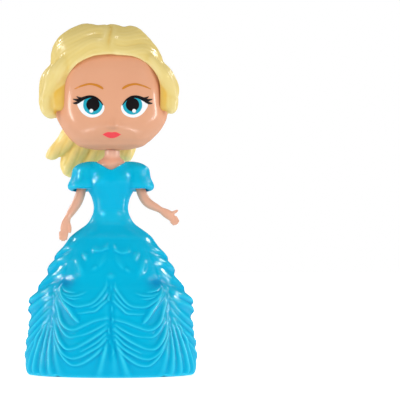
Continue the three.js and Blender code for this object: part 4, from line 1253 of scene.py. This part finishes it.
# %% Mix the inks and set out the features
INK_WHITE = ink("ink_white", (252, 252, 252), (244, 246, 248))
INK_TEAL = ink("ink_teal", (20, 178, 200), (0, 152, 178))
INK_BLACK = ink("ink_black", (18, 12, 18), (8, 6, 10), level=0.12)
INK_BROWN = ink("ink_brown", (214, 138, 46), (204, 126, 36))
INK_CORAL = ink("ink_coral", (255, 82, 88), (248, 68, 76))

IRIS = (6.66, 91.58)
IRIS_RADIUS = 3.3
PUPIL = (6.66, 91.63)
PUPIL_RADIUS = 2.25
GLINT = (7.2, 89.55)
GLINT_RADIUS = 0.63

# Upper edge of the eye as seen from the face centre, which the lash line covers
lid_at = smooth_run(
    (2.9, 91.1), (4.4, 92.9), (5.8, 93.85), (7.4, 94.2), (9.3, 93.7), (10.7, 93.0), (11.9, 92.2),
)
EYE_WHITE = (
    (2.8, 90.4), (3.0, 91.4), (4.1, 92.6), (5.6, 93.7), (7.6, 94.1), (9.8, 93.4), (11.9, 92.0),
    (10.9, 89.6), (9.2, 88.0), (7.1, 87.3), (4.7, 87.8), (3.3, 89.0),
)
EYE_MIDDLE = np.array((7.0, 91.0))

LASH_LINE = (
    (0, 3.2, 91.4, 0.1), (0.15, 4.4, 92.95, 0.24), (0.32, 5.8, 93.95, 0.33), (0.52, 7.4, 94.3, 0.42),
    (0.74, 9.3, 93.95, 0.52), (0.9, 10.7, 93.3, 0.6), (1, 11.6, 92.65, 0.45),
)
LASHES = (
    ((0, 10.2, 93.65, 0.4), (0.5, 11.3, 93.9, 0.34), (1, 12.15, 94.45, 0.12)),
    ((0, 10.6, 93.3, 0.45), (0.5, 12.0, 93.25, 0.4), (1, 13.4, 93.6, 0.13)),
    ((0, 11.0, 92.9, 0.45), (0.5, 12.3, 92.25, 0.42), (1, 13.45, 92.25, 0.14)),
)
BROW = (
    (0, 3.2, 96.8, 0.2), (0.08, 3.6, 97.15, 0.36), (0.25, 4.8, 97.85, 0.42), (0.45, 6.3, 98.35, 0.38),
    (0.65, 8.1, 98.5, 0.34), (0.85, 10.6, 97.9, 0.3), (1, 12.9, 97.0, 0.14),
)
LIP_HALF_WIDTH = 3.15
LIP_OFFSET = -0.3
LIP_Z = 81.7
print("inks:", [m.name for m in (INK_WHITE, INK_TEAL, INK_BLACK, INK_BROWN, INK_CORAL)])


# %% Print the face
def eye_white(side):
    """The white of an eye: a closed outline, filled from its middle."""
    count = len(EYE_WHITE)
    rim = smooth_run(*[(i / count, *EYE_WHITE[i % count]) for i in range(-3, count + 4)])

    def outline(u, v):
        x, z = rim(u)
        return side * mix(EYE_MIDDLE[0], x, v), mix(EYE_MIDDLE[1], z, v)

    return film("eye_white", 96, 24, outline, layer=1)


def lid_top(x):
    """Height of the lid over a place on the eye."""
    return lid_at(x)[0]


def lips(u, v):
    """Lips with two peaks above and one round curve below."""
    x = LIP_HALF_WIDTH * np.sin(np.pi * (u - 0.5))
    across = np.abs(x) / LIP_HALF_WIDTH
    upper = LIP_Z + (0.68 + 0.22 * np.sin(np.pi * across) ** 1.5) * (1 - across**2.4)
    lower = LIP_Z - 1.22 * (1 - across**2) ** 1.15
    return x + LIP_OFFSET, mix(lower, upper, v)


# Inks lie on each other in layers, from the skin outwards
joined_film("eye_whites", [eye_white(side) for side in SIDES], INK_WHITE)
iris_films = [disc("iris", side, IRIS, IRIS_RADIUS, layer=2, top=lid_top) for side in SIDES]
joined_film("irises", iris_films, INK_TEAL)
joined_film("pupils", [disc("pupil", side, PUPIL, PUPIL_RADIUS, layer=3) for side in SIDES], INK_BLACK)
joined_film("glints", [disc("glint", side, GLINT, GLINT_RADIUS, layer=5) for side in SIDES], INK_WHITE)
lash_films = [ribbon("lash_line", side, LASH_LINE, layer=4) for side in SIDES]
lash_films += [ribbon("lash", side, lash, layer=4) for side in SIDES for lash in LASHES]
joined_film("lashes", lash_films, INK_BLACK)
joined_film("brows", [ribbon("brow", side, BROW, layer=1) for side in SIDES], INK_BROWN)
joined_film("lips", [film("lips", 48, 16, lips, layer=1)], INK_CORAL)

# %% [markdown]
# ## Hair
# The hair is three mouldings: a front with a parting, a swept crown and a roll
# of locks over each ear, a back that closes the head, and a loose tail behind
# the neck. Combed hair in a mould is a body with furrows. So the crown is a
# stack of rings, the locks are fat tapered tubes laid on it, and all of it gets
# one skin. The face window is cut out, the edges are softened, and the furrows
# are then carved by moving points along their normals.

# %% Shape the crown and the locks
HAIR_Z = NECK_TOP_Z
HAIR_HEIGHT = 42.7
HAIR_HALF_WIDTH = 19.6
HAIR_FRONT = 18.3
HAIR_BACK = 21.5
HAIR_OFFSET = 2.8
HAIR_POWER = 2.2

# Share of the hair's height, and the shares of its width, front and back there
hair_at = smooth_run(
    (0.08, 0.3, 0.11, 0.55), (0.18, 0.65, 0.4, 0.86), (0.32, 0.87, 0.6, 0.95), (0.46, 0.95, 0.75, 1),
    (0.58, 0.985, 0.93, 1), (0.7, 0.995, 1, 0.97), (0.85, 0.88, 0.9, 0.83), (0.94, 0.705, 0.68, 0.63),
    (0.975, 0.58, 0.52, 0.5), (1, 0.37, 0.3, 0.3),
)


def crown_point(u, v):
    """Rings of the hair from the nape to the top, which leans to the right of the doll."""
    share = np.interp(v, (0, 0.04, 0.96, 1), (0.08, 0.08, 1, 1.004))
    close = np.interp(v, (0, 0.04, 0.96, 1), (0, 1, 1, 0))
    width, front, back = hair_at(share)
    x, y = ring(u, close, HAIR_HALF_WIDTH * width, HAIR_FRONT * front, HAIR_BACK * back, HAIR_POWER)
    return x - HAIR_OFFSET * ramp(share, 0.4, 1), y, HAIR_Z + HAIR_HEIGHT * share


def lock(name, rows):
    """A lock of hair along rows of (x, y, z, radius)."""
    table = np.array(rows, float)
    shares = np.linspace(0, 1, len(table))
    sections = [(share, radius, radius) for share, radius in zip(shares, table[:, 3])]
    return tube(name, table[:, :3], sections, sides=28, steps=60, ends=0.12)


ROLLS = {
    "right": (
        ((-13.6, -11.6, 108.6, 2.2), (-16.4, -11.6, 104.6, 2.8), (-19.6, -11.0, 100.6, 3.3),
         (-21.2, -10.4, 96.4, 3.0), (-22.1, -9.9, 93.0, 2.4), (-21.9, -9.6, 90.4, 2.2),
         (-20.2, -9.2, 88.7, 2.0), (-18.2, -8.6, 88.1, 1.5)),
        ((-14.6, -4.0, 110.4, 3.2), (-16.3, -4.0, 105.4, 3.7), (-20.4, -3.6, 100.6, 3.9),
         (-21.1, -3.0, 96.0, 3.6), (-20.9, -3.0, 91.8, 3.4), (-18.0, -2.5, 89.4, 2.2)),
        ((-14.4, 4.5, 109.0, 3.4), (-16.0, 5.0, 104.4, 3.7), (-19.8, 5.5, 99.6, 3.9),
         (-20.4, 5.5, 95.2, 3.7), (-19.8, 5.0, 91.2, 3.2), (-17.4, 4.0, 88.8, 2.0)),
    ),
    "left": (
        ((11.6, -12.2, 108.4, 2.0), (14.8, -11.8, 104.8, 2.4), (18.4, -11.0, 100.6, 2.8),
         (20.4, -10.4, 96.6, 2.6), (20.9, -9.9, 93.0, 2.1), (20.6, -9.4, 90.4, 2.0),
         (19.5, -8.8, 88.9, 1.6)),
        ((11.2, -4.0, 110.6, 3.2), (14.0, -4.0, 105.6, 3.7), (18.2, -3.6, 100.9, 3.9),
         (19.9, -3.0, 97.6, 3.6), (19.1, -3.0, 93.2, 3.2), (18.0, -2.5, 89.4, 2.4)),
        ((11.6, 4.5, 109.0, 3.4), (14.2, 5.0, 104.6, 3.7), (18.0, 5.5, 100.2, 3.8),
         (19.2, 5.5, 96.4, 3.6), (18.2, 5.0, 92.0, 3.1), (16.0, 4.0, 88.8, 1.9)),
    ),
}
CORE_LOCKS = (
    ((-14.6, -9.4, 105.0, 3.0), (-17.0, -9.4, 99.0, 3.3), (-17.4, -9.4, 93.0, 3.2),
     (-17.2, -9.0, 89.8, 2.6)),
    ((13.8, -9.4, 105.0, 3.0), (17.4, -9.4, 99.0, 3.3), (18.2, -9.4, 93.0, 3.0),
     (18.0, -9.0, 89.8, 2.4)),
)

forms = [close_up(mapped("crown", 120, 90, crown_point))]
forms += [lock(f"roll_{side}", rows) for side, rolls in ROLLS.items() for rows in rolls]
forms += [lock("roll_core", rows) for rows in CORE_LOCKS]
hair = fuse("hair", forms, voxel=0.5, softening=8)

# %% Cut the face window
WINDOW_CENTRE = 0.65
WINDOW_HALF_WIDTH = 16.0
WINDOW_TOP = 108.6
WINDOW_SPRING = 96.5
WINDOW_POWER = 2.35
WINDOW_DROP = 30
WINDOW_LEFT_FLARE = 0.3
WINDOW_SIDES = 96
WINDOW_REACH = 40
HAIR_SPLIT = 3.0

bpy.ops.object.select_all(action="DESELECT")
bpy.ops.mesh.primitive_circle_add(vertices=WINDOW_SIDES, radius=MM, fill_type="NGON")
window = bpy.context.object
circle = points_of(window)
arch_x = WINDOW_CENTRE + WINDOW_HALF_WIDTH * rounded(circle[:, 0], WINDOW_POWER)
rise = WINDOW_SPRING + (WINDOW_TOP - WINDOW_SPRING) * rounded(circle[:, 1], WINDOW_POWER)
drop = WINDOW_SPRING + WINDOW_DROP * circle[:, 1]
arch_z = np.where(circle[:, 1] < 0, drop, rise)
arch_x += WINDOW_LEFT_FLARE * ramp(-circle[:, 1], 0, 0.4) * (arch_x > 0)
move_points(window, np.stack([arch_x, np.full(WINDOW_SIDES, HAIR_SPLIT), arch_z], axis=1))
edit_mesh(
    window,
    (bpy.ops.mesh.extrude_region_move, dict(TRANSFORM_OT_translate={"value": (0, -WINDOW_REACH * MM, 0)})),
    (bpy.ops.mesh.select_all, dict(action="SELECT")),
    OUTWARDS,
)
apply_modifier(hair, "BOOLEAN", operation="DIFFERENCE", object=window, solver="EXACT")
bpy.data.objects.remove(window)
reskin(hair, voxel=0.34, softening=4)
print(f"hair: {len(hair.data.polygons)} faces with its window")

# %% Carve the furrows
EAR_Z = 97.0
EAR_Y = 2.0
PARTING_X = -1.0
# Lobes on top: distance from the middle, height and width
LOBES = ((-9.8, 0.6, 4.0), (-4.6, -0.4, 1.5), (0.2, 0.5, 2.4), (4.4, -0.45, 1.4), (8.0, 0.8, 2.8))
STRAND_DEPTH = 0.42
ROLL_DEPTH = 0.22
# Waves of the fringe: distance from the hairline, height and width
WAVES = ((0.8, 0.15, 0.9), (3.4, 0.32, 1.5), (6.2, -0.3, 1.2), (9.0, 0.3, 1.8), (12.0, -0.22, 1.2))


def strands(turns):
    """Round strands side by side, with a narrow furrow between two."""
    t = np.mod(turns, 1)
    return 1 - np.abs(2 * t - 1) ** 3


def above_hairline(x, z):
    """Roughly how far a place lies outside the arch of the face window."""
    across = np.abs(x - WINDOW_CENTRE) / WINDOW_HALF_WIDTH
    up = np.maximum(z - WINDOW_SPRING, 0) / (WINDOW_TOP - WINDOW_SPRING)
    return ((across**WINDOW_POWER + up**WINDOW_POWER) ** (1 / WINDOW_POWER) - 1) * 12


def furrows(points):
    """Relief of the parting, the lobes on top, the waves of the fringe and the combed strands."""
    x, y, z = points.T
    # Degrees from the face, over the top and down behind, as seen from the ears
    up = np.degrees(np.arctan2(z - EAR_Z, EAR_Y - y))
    up = np.where(up < -90, up + 360, up)
    beside = x - (PARTING_X + 0.9 * bump(up - 60, 12) - 2.4 * ramp(up, 66, 90))
    hairline = above_hairline(x, z)

    # The fringe follows the hairline and wanders a little
    out = hairline + 0.9 * np.sin(x / 4.1 + 0.6) + 0.5 * np.sin(x / 2.3) + 1.6 * ramp(beside, -1, 1)
    waves = sum(rise * bump(out - place, width) for place, rise, width in WAVES)
    waves = waves * (1 - ramp(np.abs(x + 0.5), 8, 16))
    lumps = 0.22 * np.sin(x / 2.4 + 1.3 + out / 3) * np.sin(out / 1.7 + 0.5)
    combed = 0.1 * (strands(out / 1.25 + 0.25 * np.sin(x / 3)) - 0.7)
    fringe = (waves + lumps + combed) * ramp(np.abs(beside), 0.6, 4)

    # The parting is a groove with a raised edge on the doll's right
    raised = np.where(beside < 0, np.exp(np.minimum(beside, 0) / 3), 0)
    groove = 0.25 * raised - 0.5 * bump(beside, 0.9)
    groove = groove * ramp(hairline, 1.0, 5.0) * (1 - ramp(up, 90, 110))

    # Lobes on top, strands down the back, and finer ones on the rolls
    lobes = sum(rise * bump(x - place, width) for place, rise, width in LOBES)
    lobes = lobes * ramp(up, 58, 76) * (1 - ramp(up, 120, 160))
    around = np.degrees(np.arctan2(x + 2, y + 4))
    thick = strands((around + 14 * np.sin(z / 9)) / 15)
    behind = STRAND_DEPTH * (thick + 0.3 * strands(around / 5 + z / 30) - 0.95) * ramp(up, 100, 130)
    roll = ramp(np.abs(x + 0.5), 17.5, 20.5) * (1 - ramp(z, 100, 106))
    locks = ROLL_DEPTH * (strands((y + 0.25 * (z - 96) + 0.8 * np.sin(z / 3)) / 3.1) - 0.75)
    front = (1 - ramp(up, 96, 125)) * ramp(up, 5, 25)
    return front * (fringe * (1 - roll) + groove) + lobes + behind * (1 - roll) + roll * locks


def comb(piece, relief):
    """Carves a relief into a mesh along its normals, and takes off the burr."""
    points = points_of(piece)
    move_points(piece, points + normals_of(piece) * relief(points)[:, None])
    apply_modifier(piece, "SMOOTH", factor=0.4, iterations=2)
    bpy.ops.object.shade_smooth()


comb(hair, furrows)
print(f"hair: carved with {len(WAVES)} waves and {len(LOBES)} lobes")

# %% Paint shade into the hollows and split the hair
# How far the painted shade on the inner side of each roll reaches, and the height where it ends
INNER_WIDTHS = (4.2, 2.6)
INNER_TOP_Z = 100


def painted_roll_shade(points):
    """The hollow inner side of each roll, next to the face, which gets the deepest painted shade."""
    x, y, z = points.T
    beside = np.abs(x - WINDOW_CENTRE) - WINDOW_HALF_WIDTH
    width = np.where(x < 0, *INNER_WIDTHS) * (1 - ramp(z, 95.5, INNER_TOP_Z))
    inside = (1 - ramp(beside, width - 0.9, width + 0.3)) * (1 - ramp(y, -8, -5))
    return inside * ramp(z, 88.2, 89.4) * (z < INNER_TOP_Z)


# Painted shade in the hollows and on the inner side of each roll, and painted highlight on the crests
set_painted_shade_and_light(hair, hollows(hair, rounds=24, depth=0.45) + painted_roll_shade(points_of(hair)))
halves = (("combed_hair_front", "hair_front"), ("combed_hair_back", "hair_back"))
split(hair, HAIR_SPLIT, HAIR_GOLD, "head", "hair", *halves)

# %% [markdown]
# ## Hair tail
# The tail hangs behind the neck in a few thick locks. Most of them fall to the
# doll's right, and the uppermost one flicks out. They are tapered tubes again,
# fused at the root and free at the tips.

# %% Model the tail
TAIL_DEPTH = 0.25
TAIL_LOCKS = (
    ((-5.0, 11.5, 91.0, 4.2), (-11.2, 12.5, 85.0, 4.8), (-15.6, 12.8, 80.0, 4.6),
     (-19.1, 12.4, 77.0, 3.7), (-21.3, 12.0, 75.4, 2.7), (-22.7, 11.8, 74.8, 1.6)),
    ((-4.0, 14.0, 90.0, 4.6), (-8.5, 15.0, 82.0, 4.8), (-12.8, 15.0, 76.0, 4.9),
     (-14.6, 14.6, 71.4, 3.8), (-14.0, 14.0, 67.8, 1.8)),
    ((0.0, 15.0, 89.0, 4.4), (-3.0, 15.6, 81.0, 4.4), (-7.0, 15.6, 74.5, 3.8),
     (-10.0, 15.0, 70.0, 1.8)),
    ((4.0, 14.0, 88.0, 4.2), (5.0, 14.4, 82.0, 4.0), (4.9, 14.0, 77.0, 3.8), (4.0, 13.4, 73.4, 2.4)),
)


def tail_furrows(points):
    """Relief of the strands that run down the tail at a slant."""
    x, _, z = points.T
    return TAIL_DEPTH * (strands((x * 0.8 - z * 0.5 + 0.6 * np.sin(z / 3)) / 2.6) - 0.75)


locks = [lock("tail_lock", rows) for rows in TAIL_LOCKS]
tail = fuse("hair_tail_locks", locks, voxel=0.36, softening=5)
comb(tail, tail_furrows)
# Painted shade in the tail's hollows and painted highlight on its crests
set_painted_shade_and_light(tail, hollows(tail, rounds=24, depth=0.55))
dress(tail, TAIL_GOLD_PAINTED_LIGHTER, "head", "hair", "hair_tail")

# %% [markdown]
# ## Base, screws and neck retainer
# The base plate closes the skirt from below, with three screws in it. The
# neck retainer is the ring inside the head that keeps the head on its spigot.
# Their solids are already the right shape, so they only get finishes. The
# screws are plated steel, with a finer grain and quicker clouds than plastic.

# %% Finish the small parts
def plated_steel():
    """Zinc plating: pale metal with a fine grain and cloudy patches."""
    material, tree, shader, clouds = moulded_material(
        "plated_steel",
        light=linear(206, 207, 204),
        deep=linear(176, 178, 186),
        roughness=0.32,
        spread=0.2,
        depth=0.01,
        drift=700,
        grain=5200,
        strength=0.5,
    )
    set_inputs(shader, {"Metallic": 1})
    wire(tree, (clouds, "Result", shader, "Base Color"))
    return material


ZINC = plated_steel()
small_parts = {"base_plate": GOWN_BLUE, "neck_retainer": BODY_SKIN_PAINTED_LIGHTER}
small_parts |= {f"base_screw_{number}": ZINC for number in (1, 2, 3)}
for node, finish in small_parts.items():
    solid = frame["nodes"][node]
    solid.data.materials.clear()
    solid.data.materials.append(finish)
    print(f"{node}: {finish.name}")
